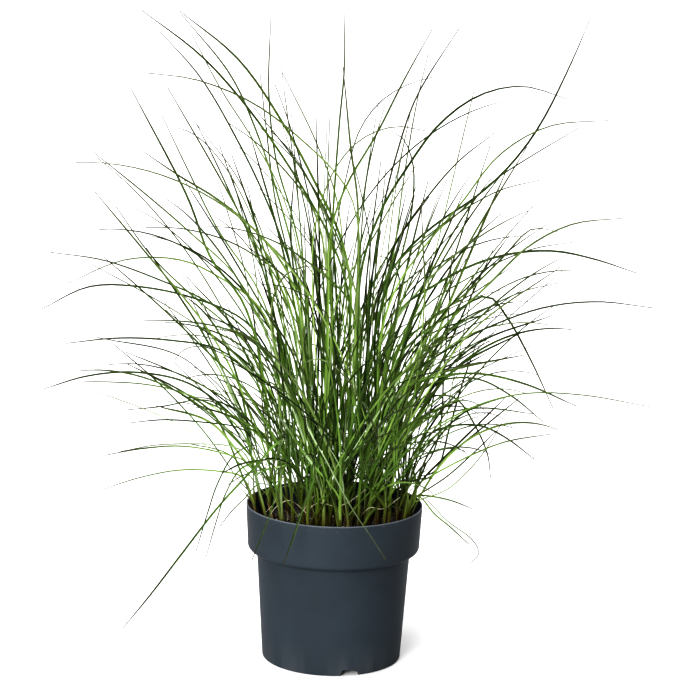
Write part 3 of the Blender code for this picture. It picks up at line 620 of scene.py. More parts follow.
def leaf_material(name, low, mid, high):
    """A leaf: red and straw at the foot, darkened there partly by painted shade, a yellow green sheath, a
    ribbed green blade with painted highlights on its edges, and a tip darkened partly by drying and partly
    by painted shade.
    """
    shader = Shader(name)
    own = shader.attribute("tone")
    rise = shader.attribute("rise")
    across = shader.attribute("across")
    patches = shader.noise(9.0, 3.0, (6.0, 6.0, 1.0))
    fleck = shader.noise(60.0, 2.0, (3.0, 3.0, 0.4))
    shade = shader.plus(own, shader.remap(patches, 0.3, 0.7, -0.2, 0.2))
    # The lightest leaves reach the pale grey green, partly a painted sheen.
    green = shader.ramp(shade, (0.0, low), (0.42, mid), (0.85, high), (1.0, GLAUCOUS_AND_SHEEN))
    # The sheath is dark red brown at its foot and lighter upwards: partly its own colour, partly painted
    # shade near the soil.
    sheath = shader.ramp(shader.remap(rise, 0.0, 0.09), (0.0, tone(38, 24, 16)), (0.2, tone(52, 42, 20)),
                         (0.45, tone(68, 78, 28)), (1.0, tone(45, 65, 22)))
    stained = shader.times(shader.remap(fleck, 0.5, 0.75), shader.remap(own, 0.4, 0.0))
    sheath = shader.mix(shader.times(stained, 0.7), sheath, RED_STAIN)
    sheath = shader.mix(shader.remap(own, 0.45, 0.1, 0.0, 0.7), sheath, DARK_SHEATH)
    colour = shader.mix(shader.remap(rise, 0.02, 0.10), sheath, green)
    # Painted highlight: the blade's edges are drawn paler.
    edge = shader.maths("POWER", shader.maths("ABSOLUTE", across), 4.0)
    colour = shader.mix(shader.times(edge, 0.2), colour, EDGE_HIGHLIGHT_GREEN)
    # Darker towards the tip: partly drying, partly painted shade on the outer blade; brown at the very tip
    # from drying.
    drying_and_shade = shader.plus(shader.attribute("tipward"), shader.remap(fleck, 0.3, 0.7, -0.05, 0.05))
    colour = shader.mix(shader.remap(drying_and_shade, 0.35, 0.8, 0.0, 0.8), colour, DRY_AND_SHADED_GREEN)
    colour = shader.mix(shader.remap(drying_and_shade, 0.85, 1.0, 0.0, 0.75), colour, DRY_TIP)
    straw = shader.ramp(shader.remap(fleck, 0.3, 0.7), (0.0, tone(40, 29, 19)), (0.5, tone(76, 62, 40)),
                        (1.0, tone(132, 118, 84)))
    colour = shader.mix(shader.attribute("dry"), colour, straw)
    ribs = shader.maths("SINE", shader.times(across, 22.0))
    relief = shader.plus(shader.times(ribs, 0.6), shader.times(fleck, 0.5))
    roughness = shader.remap(patches, 0.3, 0.7, 0.4, 0.55)
    return shader.done(colour, roughness, 0.1, shader.bump(relief, 0.00012, 0.6))


def pot_material():
    """Dark grey polypropylene: satin, finely pitted, scuffed on the rim, dusty near the foot, and with a
    painted highlight along the top of the lip.
    """
    shader = Shader("pot plastic")
    height = shader.add("ShaderNodeSeparateXYZ", {"Vector": shader.where}).outputs["Z"]
    cloud = shader.noise(14.0, 4.0)
    streaks = shader.noise(30.0, 3.0, (1.0, 1.0, 0.12))
    grain = shader.noise(1400.0, 2.0)
    scratch = shader.noise(160.0, 2.0, (1.0, 1.0, 9.0))
    colour = shader.mix(shader.remap(cloud, 0.35, 0.65), tone(35, 39, 43), tone(38, 43, 47))
    dust = shader.times(shader.remap(height, 0.035, 0.0), shader.remap(streaks, 0.4, 0.7))
    colour = shader.mix(shader.times(dust, 0.22), colour, tone(84, 84, 82))
    # Painted highlight: a lighter band along the top of the rolled lip.
    lip = shader.remap(height, 0.1690, 0.1702)
    colour = shader.mix(shader.times(lip, 0.55), colour, tone(84, 88, 92))
    scuffs = shader.times(shader.remap(scratch, 0.62, 0.72), shader.remap(height, 0.16, 0.17))
    colour = shader.mix(shader.times(scuffs, 0.4), colour, tone(96, 99, 102))
    roughness = shader.plus(shader.remap(cloud, 0.3, 0.7, 0.5, 0.6), shader.times(dust, 0.2))
    relief = shader.plus(grain, shader.times(streaks, 0.6))
    return shader.done(colour, roughness, 0.05, shader.bump(relief, 0.00006, 0.5))


def soil_material():
    """Damp peat: near black, with browner crumbs and paler fibres."""
    shader = Shader("potting soil")
    crumbs = shader.noise(190.0, 5.0)
    lumps = shader.noise(45.0, 4.0)
    colour = shader.ramp(shader.remap(crumbs, 0.3, 0.75), (0.0, tone(6, 6, 5)), (0.5, tone(20, 15, 11)),
                         (0.8, tone(40, 29, 20)), (1.0, tone(76, 57, 40)))
    colour = shader.mix(shader.remap(lumps, 0.35, 0.65, 0.0, 0.5), colour, tone(20, 15, 12))
    relief = shader.plus(crumbs, shader.times(lumps, 1.5))
    roughness = shader.remap(lumps, 0.3, 0.7, 0.8, 0.98)
    return shader.done(colour, roughness, 0.25, shader.bump(relief, 0.0016, 0.9))


def litter_material():
    """Bark chips, dead roots and straw among the crumbs, told apart by their own tone."""
    shader = Shader("litter")
    fibre = shader.noise(420.0, 3.0)
    colour = shader.ramp(shader.attribute("tone"), (0.0, tone(10, 8, 6)), (0.35, tone(30, 22, 15)),
                         (0.6, tone(70, 54, 38)), (0.8, tone(124, 118, 88)), (1.0, tone(164, 160, 132)))
    browning = shader.remap(fibre, 0.35, 0.65, 0.0, 0.45)
    colour = shader.mix(browning, colour, tone(52, 38, 26), "MULTIPLY")
    roughness = shader.remap(fibre, 0.3, 0.7, 0.7, 0.92)
    return shader.done(colour, roughness, 0.3, shader.bump(fibre, 0.0004, 0.7))


def floor_material():
    shader = Shader("studio floor")
    mottle = shader.remap(shader.noise(3.0, 2.0), 0.3, 0.7)
    return shader.done(shader.mix(mottle, (0.38, 0.38, 0.38, 1.0), (0.39, 0.39, 0.39, 1.0)), 0.75, 0.2)


# ---- mesh helpers ----
LEAST_WRAP = 1e-3


def add_object(name, data):
    item = bpy.data.objects.new(name, data)
    bpy.context.scene.collection.objects.link(item)
    return item


def mesh_data(name, mesh):
    """A mesh of its own from a finished bmesh, which is given up."""
    data = bpy.data.meshes.new(name)
    mesh.to_mesh(data)
    mesh.free()
    return data


def piece_from(name, points, faces, material, attributes=None, sharp=None):
    """A mesh object from arrays in millimetres, with plain number attributes on its points."""
    data = bpy.data.meshes.new(name)
    data.from_pydata((np.asarray(points) * MM).tolist(), [], faces)
    for key, values in (attributes or {}).items():
        layer = data.attributes.new(key, "FLOAT", "POINT")
        layer.data.foreach_set("value", np.asarray(values, np.float32))
    data.materials.append(material)
    data.shade_smooth()
    if sharp is not None:
        data.set_sharp_from_angle(angle=math.radians(sharp))
    return add_object(name, data)


class Gathered:
    """Several bodies gathered into one mesh, with their attributes."""

    def __init__(self):
        self.points, self.faces, self.values = [], [], {}
        self.count = 0

    def take(self, points, faces, **values):
        self.points.append(points)
        self.faces.extend(tuple(corner + self.count for corner in face) for face in faces)
        for key, value in values.items():
            self.values.setdefault(key, []).append(np.broadcast_to(value, len(points)))
        self.count += len(points)

    def piece(self, name, material, sharp=None):
        values = {key: np.concatenate(parts) for key, parts in self.values.items()}
        return piece_from(name, np.concatenate(self.points), self.faces, material, values, sharp)


def unit(vectors):
    return vectors / norm(vectors, axis=-1, keepdims=True)


def pointed_tube_faces(rings, width):
    """Faces of a tube of rings that run anticlockwise seen from its far end, a lone point."""
    faces = [tuple(reversed(range(width)))]
    for low in range(0, rings * width, width):
        high = low + width
        for here in range(width):
            after = (here + 1) % width
            far = (high + after, high + here) if high < rings * width else (high,)
            faces.append((low + here, low + after, *far))
    return faces


def add_ribbon(mesh, spine, side, widths, wraps, folds, thickness, spread, tip, **values):
    """Adds a closed, curled and keeled ribbon round a spine, which ends in a point tip beyond it.

    spread holds the places across it. A measure or a value is one number, or one for each ring.
    """
    rings = len(spine)
    along = unit(np.gradient(spine, axis=0))
    side = unit(side - along * (side * along).sum(axis=1, keepdims=True))
    facing = np.cross(along, side)
    measures = (widths, wraps, folds, thickness)
    widths, wraps, folds, thickness = (np.broadcast_to(item, rings)[:, None] for item in measures)
    wraps = np.maximum(wraps, LEAST_WRAP)
    radius = widths / wraps
    angle = spread * wraps / 2
    out = radius * np.sin(angle)
    up = radius * (1.0 - np.cos(angle)) + folds * np.abs(spread) * widths / 2
    back = spine[:, None] + side[:, None] * out[..., None] + facing[:, None] * up[..., None]
    inwards = -side[:, None] * np.sin(angle)[..., None] + facing[:, None] * np.cos(angle)[..., None]
    front = back + inwards * thickness[..., None]
    section = np.concatenate([back, front[:, -2:0:-1]], axis=1)
    width = section.shape[1]
    for key, value in values.items():
        if np.ndim(value):
            values[key] = np.append(np.repeat(value, width), value[-1])
    across = np.append(np.tile(np.concatenate([spread, spread[-2:0:-1]]), rings), 0.0)
    points = np.concatenate([section.reshape(-1, 3), spine[-1:] + tip])
    mesh.take(points, pointed_tube_faces(rings, width), across=across, **values)


# ---- leaves ----
FINE_SAMPLES = 34
SHEATH_RINGS = 7
LEAF_SHARP = 50.0
# Places across a main leaf and across a finer one, from edge to edge.
SPREAD = np.array([-1.0, -0.62, -0.28, 0.0, 0.28, 0.62, 1.0])
NARROW_SPREAD = np.array([-1.0, -0.5, 0.0, 0.5, 1.0])
SHEATH_FOOT_BELOW = 3.0
SHEATH_RADIUS = (2.1, 1.05)
SHEATH_STEP = 0.08
SHEATH_WRAP = math.radians(285.0)
COLLAR_WRAP = math.radians(150.0)
BLADE_WRAP = math.radians(26.0)
COLLAR_FADE = 18.0
OPENING_LENGTH = 24.0
LEAF_THICKNESS = 0.22
SHEATH_THICKNESS = 0.12
TIP_THINNING = 0.45
TIP_LENGTH = 0.6
SHOULDER_SHARE = 0.12
SHOULDER_WIDTH = 0.78
HAIR_TIP = 0.95
KEEL = 0.5
TIP_KEEL = 0.7
FULLNESS = 1.1
# How far a leaf rolls about its own course, in radians: where it heads to the side, where it heads
# to the front or back, and the scatter.
MAIN_ROLL = ((0.95, 1.35), (0.0, 0.4), 0.12)
FINE_ROLL = ((0.85, 1.3), (0.2, 0.6), 0.25)
ROLL_SHARE = 0.25
WAVE = 0.15
WAVES = (3.0, 6.0)


def above_sheath(values, sheath=0.0):
    """A value for each ring of a leaf: the sheath's own, then the blade's."""
    return np.concatenate([np.broadcast_to(sheath, SHEATH_RINGS - 1), values])


def blade_widths(share, width):
    """A sedge blade's width: drawn in at the collar, even, then one long taper to a hair tip."""
    shoulder_in = between(SHOULDER_WIDTH, 1.0, np.clip(share / SHOULDER_SHARE, 0.0, 1.0))
    taper = np.clip(1.0 - share ** 8.0, 0.0, 1.0) ** 0.6
    return np.maximum(width * shoulder_in * taper, HAIR_TIP)


def rolled(spine, across_way, heading, share, spread, draw):
    """The way across a leaf at each ring. It turns from level as the blade leaves its sheath."""
    main = spread is SPREAD
    sides, fronts, scatter = MAIN_ROLL if main else FINE_ROLL
    sideways = abs(heading[0]) / norm(heading)
    most = draw.uniform(*sides) * sideways + draw.uniform(*fronts) * (1.0 - sideways)
    turn = math.copysign(1.0, heading[0]) if main else draw.choice((-1.0, 1.0))
    roll = turn * most * np.clip(share / ROLL_SHARE, 0.0, 1.0)
    roll += draw.gauss(0.0, scatter) * share
    roll += WAVE * np.sin(share * draw.uniform(*WAVES))
    twist = above_sheath(roll)[:, None]
    along = unit(np.gradient(spine, axis=0))
    flat = unit(across_way - along * (along @ across_way)[:, None])
    return flat * np.cos(twist) + np.cross(along, flat) * np.sin(twist)


def add_grown_leaf(mesh, tiller, leaf, route, draw, rank, spread):
    """One leaf from its foot in the soil: a sheath rolled round the stem that opens to a blade."""
    heading = (route[-1] - route[0]) * (1.0, 1.0, 0.0)
    if norm(heading) < 1.0:
        heading = np.array([1.0, 0.0, 0.0])
    across_way = np.cross((0.0, 0.0, 1.0), unit(heading))
    stem = tiller["lean"]
    shares = np.linspace(-SHEATH_FOOT_BELOW / norm(stem), leaf["share"], SHEATH_RINGS)
    girths = between(*SHEATH_RADIUS, np.clip(shares, 0.0, 1.0)) * tiller["girth"]
    radii = girths + SHEATH_STEP * rank
    outwards = -np.cross(unit(stem), across_way)
    sheath = tiller["base"] + np.outer(shares, stem) + outwards * radii[:, None]
    lengths = run_lengths(route)
    blade = route + np.outer(np.exp(-lengths / COLLAR_FADE), sheath[-1] - route[0])
    spine = np.concatenate([sheath[:-1], blade])
    share = lengths / lengths[-1]
    opening = np.clip(lengths / OPENING_LENGTH, 0.0, 1.0)
    opening = opening * opening * (3.0 - 2.0 * opening)
    wraps = between(SHEATH_WRAP, COLLAR_WRAP, np.linspace(0.0, 1.0, SHEATH_RINGS)[:-1] ** 2)
    widths = between(COLLAR_WRAP * radii[-1], blade_widths(share, leaf["width"] * FULLNESS), opening)
    thickness = between(SHEATH_THICKNESS, LEAF_THICKNESS, opening)
    thickness *= np.linspace(1.0, TIP_THINNING, len(route))
    side = rolled(spine, across_way, heading, share, spread, draw)
    rise = above_sheath(norm(sheath[-1] - sheath[0]) + lengths, norm(sheath[:-1] - sheath[0], axis=1))
    add_ribbon(mesh, spine, side, above_sheath(widths, wraps * radii[:-1]),
               above_sheath(between(COLLAR_WRAP, BLADE_WRAP, opening), wraps),
               above_sheath(KEEL * opening + TIP_KEEL * share * share),
               above_sheath(thickness, SHEATH_THICKNESS), spread,
               unit(spine[-1] - spine[-2]) * TIP_LENGTH,
               tone=leaf["tone"], dry=0.0, rise=rise * MM, tipward=above_sheath(share))


# ---- which leaves a tiller carries ----
FOLLOWING_COUNTS = (2, 2, 3)
FOLLOWING_STRETCH = (0.55, 0.98)
FOLLOWING_STRAY = (52.0, 40.0, 22.0)
FOLLOWING_PARTING = (0.3, 0.9)
FOLLOWING_REACH = (300.0, 275.0, 690.0)
FOLLOWING_RISE = 6.0
FINE_WIDTH = (1.4, 2.4)
ARCHING_WIDTH = (1.5, 2.4)
ARCHING_PARTING = (0.15, 1.0)
ARCHING_TRIES = 12
SWAY = 0.35
SHOOT_REACH = 276.0
CLEAR_SAMPLES = 90
BARE_SIDE = -48.0
LOW_COUNTS = (2, 3, 3)
TALL_EDGE = 0.7
SHOOT_GIRTH = (0.5, 0.85)
SHOOT_AWAY = (2.2, 5.0)
SHOOT_TILT = (2.0, 22.0)
SHOOT_LENGTH = (9.0, 46.0)
# How leaves set out from a stem: the scatter of their azimuth in radians, their tilt from upright
# in degrees and their length.
LOW = {"scatter": 1.25, "tilts": (6.0, 45.0), "lengths": (75.0, 320.0)}
TALL = {"scatter": 1.0, "tilts": (3.0, 26.0), "lengths": (300.0, 520.0)}
ON_SHOOT = {"scatter": 1.1, "tilts": (2.0, 36.0), "lengths": (75.0, 380.0)}


def following_leaf(tiller, draw):
    """A finer leaf that keeps beside one of the tiller's main leaves and slowly strays from it."""
    model = draw.choice([leaf for leaf in tiller["leaves"] if not leaf["alone"]])
    stretch = draw.uniform(*FOLLOWING_STRETCH)
    stray = np.array([draw.gauss(0.0, most) for most in FOLLOWING_STRAY])
    reach = model["points"] - tiller["base"]
    far = norm(reach, axis=1) / norm(reach[-1])
    points = tiller["base"] + reach * stretch + stray * far[:, None] ** 1.3
    leaf = {"width": draw.uniform(*FINE_WIDTH), "share": draw.uniform(*FOLLOWING_PARTING)}
    leaf["parting"] = tiller["base"] + tiller["lean"] * leaf["share"]
    while len(points) > 2 and points[0, 2] < leaf["parting"][2] + FOLLOWING_RISE:
        points = points[1:]
    leaf["points"] = points
    return leaf, leaf_route(tiller, leaf, 0.0, 0.0, samples=FINE_SAMPLES)


def arching_leaf(stem, azimuth, droops, draw, scatter, tilts, lengths):
    """A leaf that parts from a stem and arches clear of the pot, or None where it finds no way."""
    for _ in range(ARCHING_TRIES):
        share = draw.uniform(*ARCHING_PARTING)
        start = stem["base"] + stem["lean"] * share
        way = azimuth + draw.gauss(0.0, scatter)
        tilt = math.radians(draw.uniform(*tilts))
        droop = math.radians(draw.uniform(*droops))
        length = between(*lengths, draw.random() ** 1.25)
        route = arched_course(start, way, tilt, droop, length, FINE_SAMPLES, draw.gauss(0.0, SWAY))
        if clears_pot(route, CLEAR_SAMPLES) and np.abs(route[:, :2]).max() < SHOOT_REACH:
            leaf = {"width": draw.uniform(*ARCHING_WIDTH), "share": share, "tone": draw.uniform(0.0, 0.9)}
            return leaf, route
    return None


def low_leaves(tiller, draw):
    """Leaves that part low on the tiller's own stem and make its fan."""
    x, y = tiller["foot"]
    edge = norm(tiller["foot"]) / FILL_RADIUS
    outwards = math.atan2(y, x)
    grown = []
    for _ in range(1 if x < BARE_SIDE else draw.choice(LOW_COUNTS)):
        grown.append(arching_leaf(tiller, outwards, (10.0, 55.0 + 40.0 * edge), draw, **LOW))
    for _ in range(draw.choice((1, 2)) if edge < TALL_EDGE else 0):
        grown.append(arching_leaf(tiller, outwards, (15.0, 80.0), draw, **TALL))
    return [item for item in grown if item]


def side_shoots(tiller, draw):
    """Young shoots at the tiller's foot: short stems, each with two or three arching leaves."""
    shoots = []
    for _ in range(0 if tiller["foot"][0] < BARE_SIDE else draw.choice((0, 0, 1))):
        around = draw.uniform(0.0, FULL_TURN)
        away = draw.uniform(*SHOOT_AWAY)
        foot = tiller["foot"] + away * np.array([math.cos(around), math.sin(around)])
        edge = norm(foot) / FILL_RADIUS
        azimuth = math.atan2(foot[1], foot[0]) + draw.gauss(0.0, 1.1 - 0.3 * edge)
        flat = math.tan(math.radians(draw.uniform(*SHOOT_TILT) + 6.0 * edge))
        lean = np.array([flat * math.cos(azimuth), flat * math.sin(azimuth), 1.0])
        shoot = {"base": np.array([*foot, SOIL_TOP]), "girth": draw.uniform(*SHOOT_GIRTH)}
        shoot["lean"] = lean * draw.uniform(*SHOOT_LENGTH)
        droops = (12.0, 60.0 + 35.0 * edge)
        leaves = []
        for _ in range(draw.choice(LOW_COUNTS)):
            leaves.append(arching_leaf(shoot, azimuth, droops, draw, **ON_SHOOT))
        shoots.append((shoot, [item for item in leaves if item]))
    return shoots


DEAD_RINGS = 8
DEAD_LENGTH = (9.0, 40.0)
DEAD_RADIUS = (2.2, 2.8)
DEAD_SPLAY = (0.5, 5.0)
DEAD_WRAP = (120.0, 210.0)
DEAD_WIDTH = math.radians(170.0)
DEAD_THICKNESS = 0.18
DEAD_TIP = 1.5
DEAD_RISE = 0.02


def add_dead_sheath(mesh, tiller, draw):
    """A short, split and splayed dead sheath at the tiller's foot."""
    turn = draw.uniform(0.0, FULL_TURN)
    outwards = np.array([math.cos(turn), math.sin(turn), 0.0])
    share = np.linspace(0.0, 1.0, DEAD_RINGS)
    length = draw.uniform(*DEAD_LENGTH)
    radius = draw.uniform(*DEAD_RADIUS) * tiller["girth"]
    stem = unit(tiller["lean"])
    splay = draw.uniform(*DEAD_SPLAY)
    axis = tiller["base"] + np.outer(share * length - 2.0, stem)
    spine = axis + outwards * (radius + splay * share ** 2.2)[:, None]
    wraps = math.radians(draw.uniform(*DEAD_WRAP)) * (1.0 - 0.75 * share)
    widths = radius * DEAD_WIDTH * np.maximum(1.0 - share ** 1.6, 0.06)
    add_ribbon(mesh, spine, np.cross((0.0, 0.0, 1.0), outwards), widths, wraps, 0.0, DEAD_THICKNESS,
               SPREAD, stem * DEAD_TIP,
               tone=draw.random(), dry=draw.uniform(0.55, 1.0), rise=DEAD_RISE, tipward=0.0)


# tiller_27's tone above 1 gives its leaves the pale grey green at the ramp's top, partly a painted sheen.
OWN_TONES = {"tiller_21": 0.6, "tiller_25": 0.45, "tiller_26": 0.2, "tiller_27": 1.2}
SLENDER = {"tiller_21": 0.6, "tiller_24": 0.85, "tiller_26": 0.7, "tiller_27": 0.62}
MAIN_FULLNESS = 0.88
# Leaves that stand out on their own: tone and width against the others, by tiller and place.
OWN_LEAVES = {
    ("tiller_17", 0): (0.1, 0.88), ("tiller_17", 1): (0.1, 0.95), ("tiller_19", 0): (0.6, 0.5),
    ("tiller_19", 2): (0.1, 0.72), ("tiller_13", 1): (0.25, 0.85), ("tiller_15", 1): (0.1, 0.88),
    ("tiller_04", 1): (0.15, 0.78), ("tiller_06", 1): (0.1, 0.7), ("tiller_11", 1): (0.2, 0.85),
}
# The tillers whose leaves hang over the rim on their own.
RIM_TILLERS = ("tiller_25", "tiller_26", "tiller_27")
GIRTH = (0.5, 1.15)


def grown_leaves(name, tiller, draw):
    """Every leaf on a tiller's own stem, from the stem's top down: the leaf, its route, its spread."""
    grown = []
    for place, leaf in enumerate(tiller["leaves"]):
        common = OWN_TONES.get(name, draw.uniform(0.1, 0.85)), SLENDER.get(name, MAIN_FULLNESS)
        leaf["alone"] = (name, place) in OWN_LEAVES
        leaf["tone"], fullness = OWN_LEAVES.get((name, place), common)
        leaf["width"] *= fullness
        grown.append((leaf, leaf_route(tiller, leaf, *leaf["bend"], samples=FINE_SAMPLES), SPREAD))
    for _ in range(0 if name in RIM_TILLERS else draw.choice(FOLLOWING_COUNTS)):
        leaf, route = following_leaf(tiller, draw)
        leaf["tone"] = draw.random()
        inside = np.abs(route).max(axis=0) < FOLLOWING_REACH
        if inside.all() and clears_pot(route, CLEAR_SAMPLES):
            grown.append((leaf, route, NARROW_SPREAD))
    grown.extend((leaf, route, NARROW_SPREAD) for leaf, route in low_leaves(tiller, draw))
    return sorted(grown, key=lambda item: item[0]["share"], reverse=True)


def build_tillers():
    greens = [(slot, leaf_material(*look)) for slot, look in LEAF_GREENS.items()]
    draw = random.Random(SEED + 100)
    for number, tiller in enumerate(fitted_tillers(), start=1):
        name = f"tiller_{number:02d}"
        mesh = Gathered()
        tiller["girth"] = draw.uniform(*GIRTH)
        for rank, (leaf, route, spread) in enumerate(grown_leaves(name, tiller, draw)):
            add_grown_leaf(mesh, tiller, leaf, route, draw, rank, spread)
        for shoot, leaves in side_shoots(tiller, draw):
            leaves.sort(key=lambda item: item[0]["share"], reverse=True)
            for rank, (leaf, route) in enumerate(leaves):
                add_grown_leaf(mesh, shoot, leaf, route, draw, rank, NARROW_SPREAD)
        for _ in range(draw.choice((0, 1, 1, 2))):
            add_dead_sheath(mesh, tiller, draw)
        slot, green = greens[number % len(greens)]
        piece = mesh.piece(f"{name}_leaves", green, sharp=LEAF_SHARP)
        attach(piece, "root")
        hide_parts(name)


# ---- pot ----
POT_STEPS = 160
HOLLOW_RADIUS = 2.4
SHOULDER_RADIUS = 5.2
WALL_HEIGHTS = (12.0, 40.0, 70.0, 100.0)
COLLAR_MIDDLE = 150.0
RING_CHAMFER = 0.5
NOTCH_CORNER = (0.8, 1.0)
NOTCH_REACH = (-12.0, 6.0)
DRAIN_SIDES = 32
POT_SHARP = 30.0
MERGE_DISTANCE = 0.01


def arc(centre, radius, start, end, count):
    """Points (radius, height) along an arc whose angles are in degrees."""
    turns = np.radians(np.linspace(start, end, count))
    return [(centre[0] + radius * math.cos(t), centre[1] + radius * math.sin(t)) for t in turns]


def body_radius(height):
    return FOOT_RADIUS + (BODY_TOP_RADIUS - FOOT_RADIUS) * height / BODY_TOP_HEIGHT


def collar_radius(height):
    share = (height - COLLAR_FOOT_HEIGHT) / (POT_HEIGHT - COLLAR_FOOT_HEIGHT)
    return between(COLLAR_FOOT_RADIUS, RIM_RADIUS, share)


def shoulder(offset):
    """The rounded step from the body out to the collar, moved inwards by offset, upwards."""
    inner, outer = BODY_TOP_RADIUS - offset, COLLAR_FOOT_RADIUS - offset
    foot, top = BODY_TOP_HEIGHT + offset, COLLAR_FOOT_HEIGHT + offset
    hollow = arc((inner + HOLLOW_RADIUS, foot - HOLLOW_RADIUS), HOLLOW_RADIUS, 180.0, 90.0, 6)
    round_off = arc((outer - SHOULDER_RADIUS, foot + SHOULDER_RADIUS), SHOULDER_RADIUS, -90.0, 0.0, 9)
    return [*hollow, *round_off, (outer, top + 0.6)]


def inner_outline():
    floor = BASE_UNDERSIDE + WALL
    return [(body_radius(floor) - WALL, floor), *shoulder(WALL)]


def pot_outline():
    """Radius and height round the pot's wall: foot ring, body, shoulder, collar, rolled lip."""
    ring_inner = FOOT_RADIUS - FOOT_CORNER - FOOT_RING_WIDTH
    lip = WALL / 2
    return [
        (0.0, BASE_UNDERSIDE), (ring_inner, BASE_UNDERSIDE), (ring_inner, RING_CHAMFER),
        (ring_inner + RING_CHAMFER, 0.0),
        *arc((FOOT_RADIUS - FOOT_CORNER, FOOT_CORNER), FOOT_CORNER, -90.0, 0.0, 6),
        *((body_radius(height), height) for height in WALL_HEIGHTS),
        *shoulder(0.0), (collar_radius(COLLAR_MIDDLE), COLLAR_MIDDLE),
        *arc((RIM_RADIUS - lip, POT_HEIGHT - lip), lip, 0.0, 180.0, 11),
        *reversed(inner_outline()), (0.0, BASE_UNDERSIDE + WALL),
    ]


def turned_mesh(outline):
    mesh = bmesh.new()
    line = [mesh.verts.new((radius * MM, 0.0, height * MM)) for radius, height in outline]
    edges = [mesh.edges.new(pair) for pair in zip(line, line[1:])]
    bmesh.ops.spin(mesh, geom=[*line, *edges], cent=(0, 0, 0), axis=(0, 0, 1),
                   angle=FULL_TURN, steps=POT_STEPS, use_merge=True)
    bmesh.ops.remove_doubles(mesh, verts=mesh.verts, dist=MERGE_DISTANCE * MM)
    bmesh.ops.recalc_face_normals(mesh, faces=mesh.faces)
    return mesh_data("pot_raw", mesh)


def notch_mesh():
    """A bar along +X through the foot ring, with the outline of a drainage notch."""
    foot, top = NOTCH_FOOT_WIDTH / 2, NOTCH_TOP_WIDTH / 2
    out, down = NOTCH_CORNER
    outline = [(-foot, 0.0), (-foot, -1.0), (foot, -1.0), (foot, 0.0),
               (top + out, NOTCH_HEIGHT - down), (top, NOTCH_HEIGHT),
               (-top, NOTCH_HEIGHT), (-top - out, NOTCH_HEIGHT - down)]
    near, far = (FOOT_RADIUS + reach for reach in NOTCH_REACH)
    mesh = bmesh.new()
    face = mesh.faces.new([mesh.verts.new((near * MM, y * MM, z * MM)) for y, z in outline])
    drawn = bmesh.ops.extrude_face_region(mesh, geom=[face])["geom"]
    moved = [item for item in drawn if isinstance(item, bmesh.types.BMVert)]
    bmesh.ops.translate(mesh, verts=moved, vec=((far - near) * MM, 0.0, 0.0))
    bmesh.ops.recalc_face_normals(mesh, faces=mesh.faces)
    return mesh_data("notch_cutter", mesh)


def drain_mesh():
    mesh = bmesh.new()
    bmesh.ops.create_cone(mesh, cap_ends=True, segments=DRAIN_SIDES, radius1=DRAIN_RADIUS * MM,
                          radius2=DRAIN_RADIUS * MM, depth=6.0 * WALL * MM)
    return mesh_data("drain_cutter", mesh)


def cut(target, data, place, turn):
    cutter = add_object(data.name, data)
    cutter.location = [distance * MM for distance in place]
    cutter.rotation_euler = (0.0, 0.0, turn)
    hole = target.modifiers.new("cut", "BOOLEAN")
    hole.operation = "DIFFERENCE"
    hole.solver = "EXACT"
    hole.object = cutter
    return cutter


def build_pot():
    pot = add_object("pot_moulding", turned_mesh(pot_outline()))
    front = math.radians(NOTCH_ANGLE - 90.0)
    cutters = []
    for number in range(NOTCH_COUNT):
        turn = front + number * FULL_TURN / NOTCH_COUNT
        cutters.append(cut(pot, notch_mesh(), (0.0, 0.0, 0.0), turn))
    for number in range(DRAIN_COUNT):
        turn = front + (number + 0.5) * FULL_TURN / DRAIN_COUNT
        place = (DRAIN_CIRCLE * math.cos(turn), DRAIN_CIRCLE * math.sin(turn), BASE_UNDERSIDE)
        cutters.append(cut(pot, drain_mesh(), place, turn))
    cut_pot = pot.evaluated_get(bpy.context.evaluated_depsgraph_get())
    data = bpy.data.meshes.new_from_object(cut_pot)
    pot.modifiers.clear()
    pot.data = data
    for cutter in cutters:
        bpy.data.objects.remove(cutter, do_unlink=True)
    data.materials.clear()
    data.materials.append(pot_material())
    data.shade_smooth()
    data.set_sharp_from_angle(angle=math.radians(POT_SHARP))
    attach(pot, "root")
    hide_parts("pot")


# ---- soil and litter ----
SOIL_RINGS = 60
SOIL_SECTORS = 150
SOIL_LIFT = 0.4
SOIL_SIDE_DEPTH = 4.0
WALL_GAP = (0.4, 0.3)
LITTER_CLEARANCE = 2.0
CRUMBS = 620
CRUMB_TONE = (0.28, 0.2)
STRAWS = 70
STRAW_RINGS = 12
STRAW_LENGTH = (9.0, 34.0)
STRAW_WIDTH = (0.7, 2.4)
STRAW_WRAP = (0.6, 3.0)
STRAW_THICKNESS = 0.2
STRAW_TIP = 0.3
STRAW_LIFT = 0.7
CURL_RINGS = 26
CURL_SIDE = (0.35, 0.6, 0.7)
# Dry leaf ends that curl at the rim and over the soil: depth Y, width, tone, then the course (x, z)
# from the front.
CURLS = [
    (-8, 0.7, 0.5, [(-84, 152), (-90, 172), (-96, 171), (-101, 161), (-102, 152), (-98, 146),
                    (-94, 150), (-95, 157)]),
    (-20, 0.7, 0.6, [(-82, 152), (-88, 168), (-98, 178), (-113, 178), (-126, 167), (-133, 156),
                     (-134, 144), (-124, 133)]),
    (-52, 0.8, 1.0, [(-70, 154), (-62, 165), (-50, 172), (-42, 169), (-30, 158)]),
    (-58, 0.6, 1.0, [(-40, 154), (-34, 160), (-24, 176), (-17, 181)]),
    (-62, 0.7, 1.0, [(-28, 152), (-26, 164), (-16, 170), (-2, 167)]),
    (-60, 0.7, 1.0, [(2, 152), (6, 166), (16, 172), (33, 186)]),
    (-48, 0.7, 1.0, [(26, 152), (38, 166), (52, 165), (70, 178)]),
    (-30, 0.6, 1.0, [(-76, 156), (-64, 170), (-60, 184), (-48, 190)]),
]


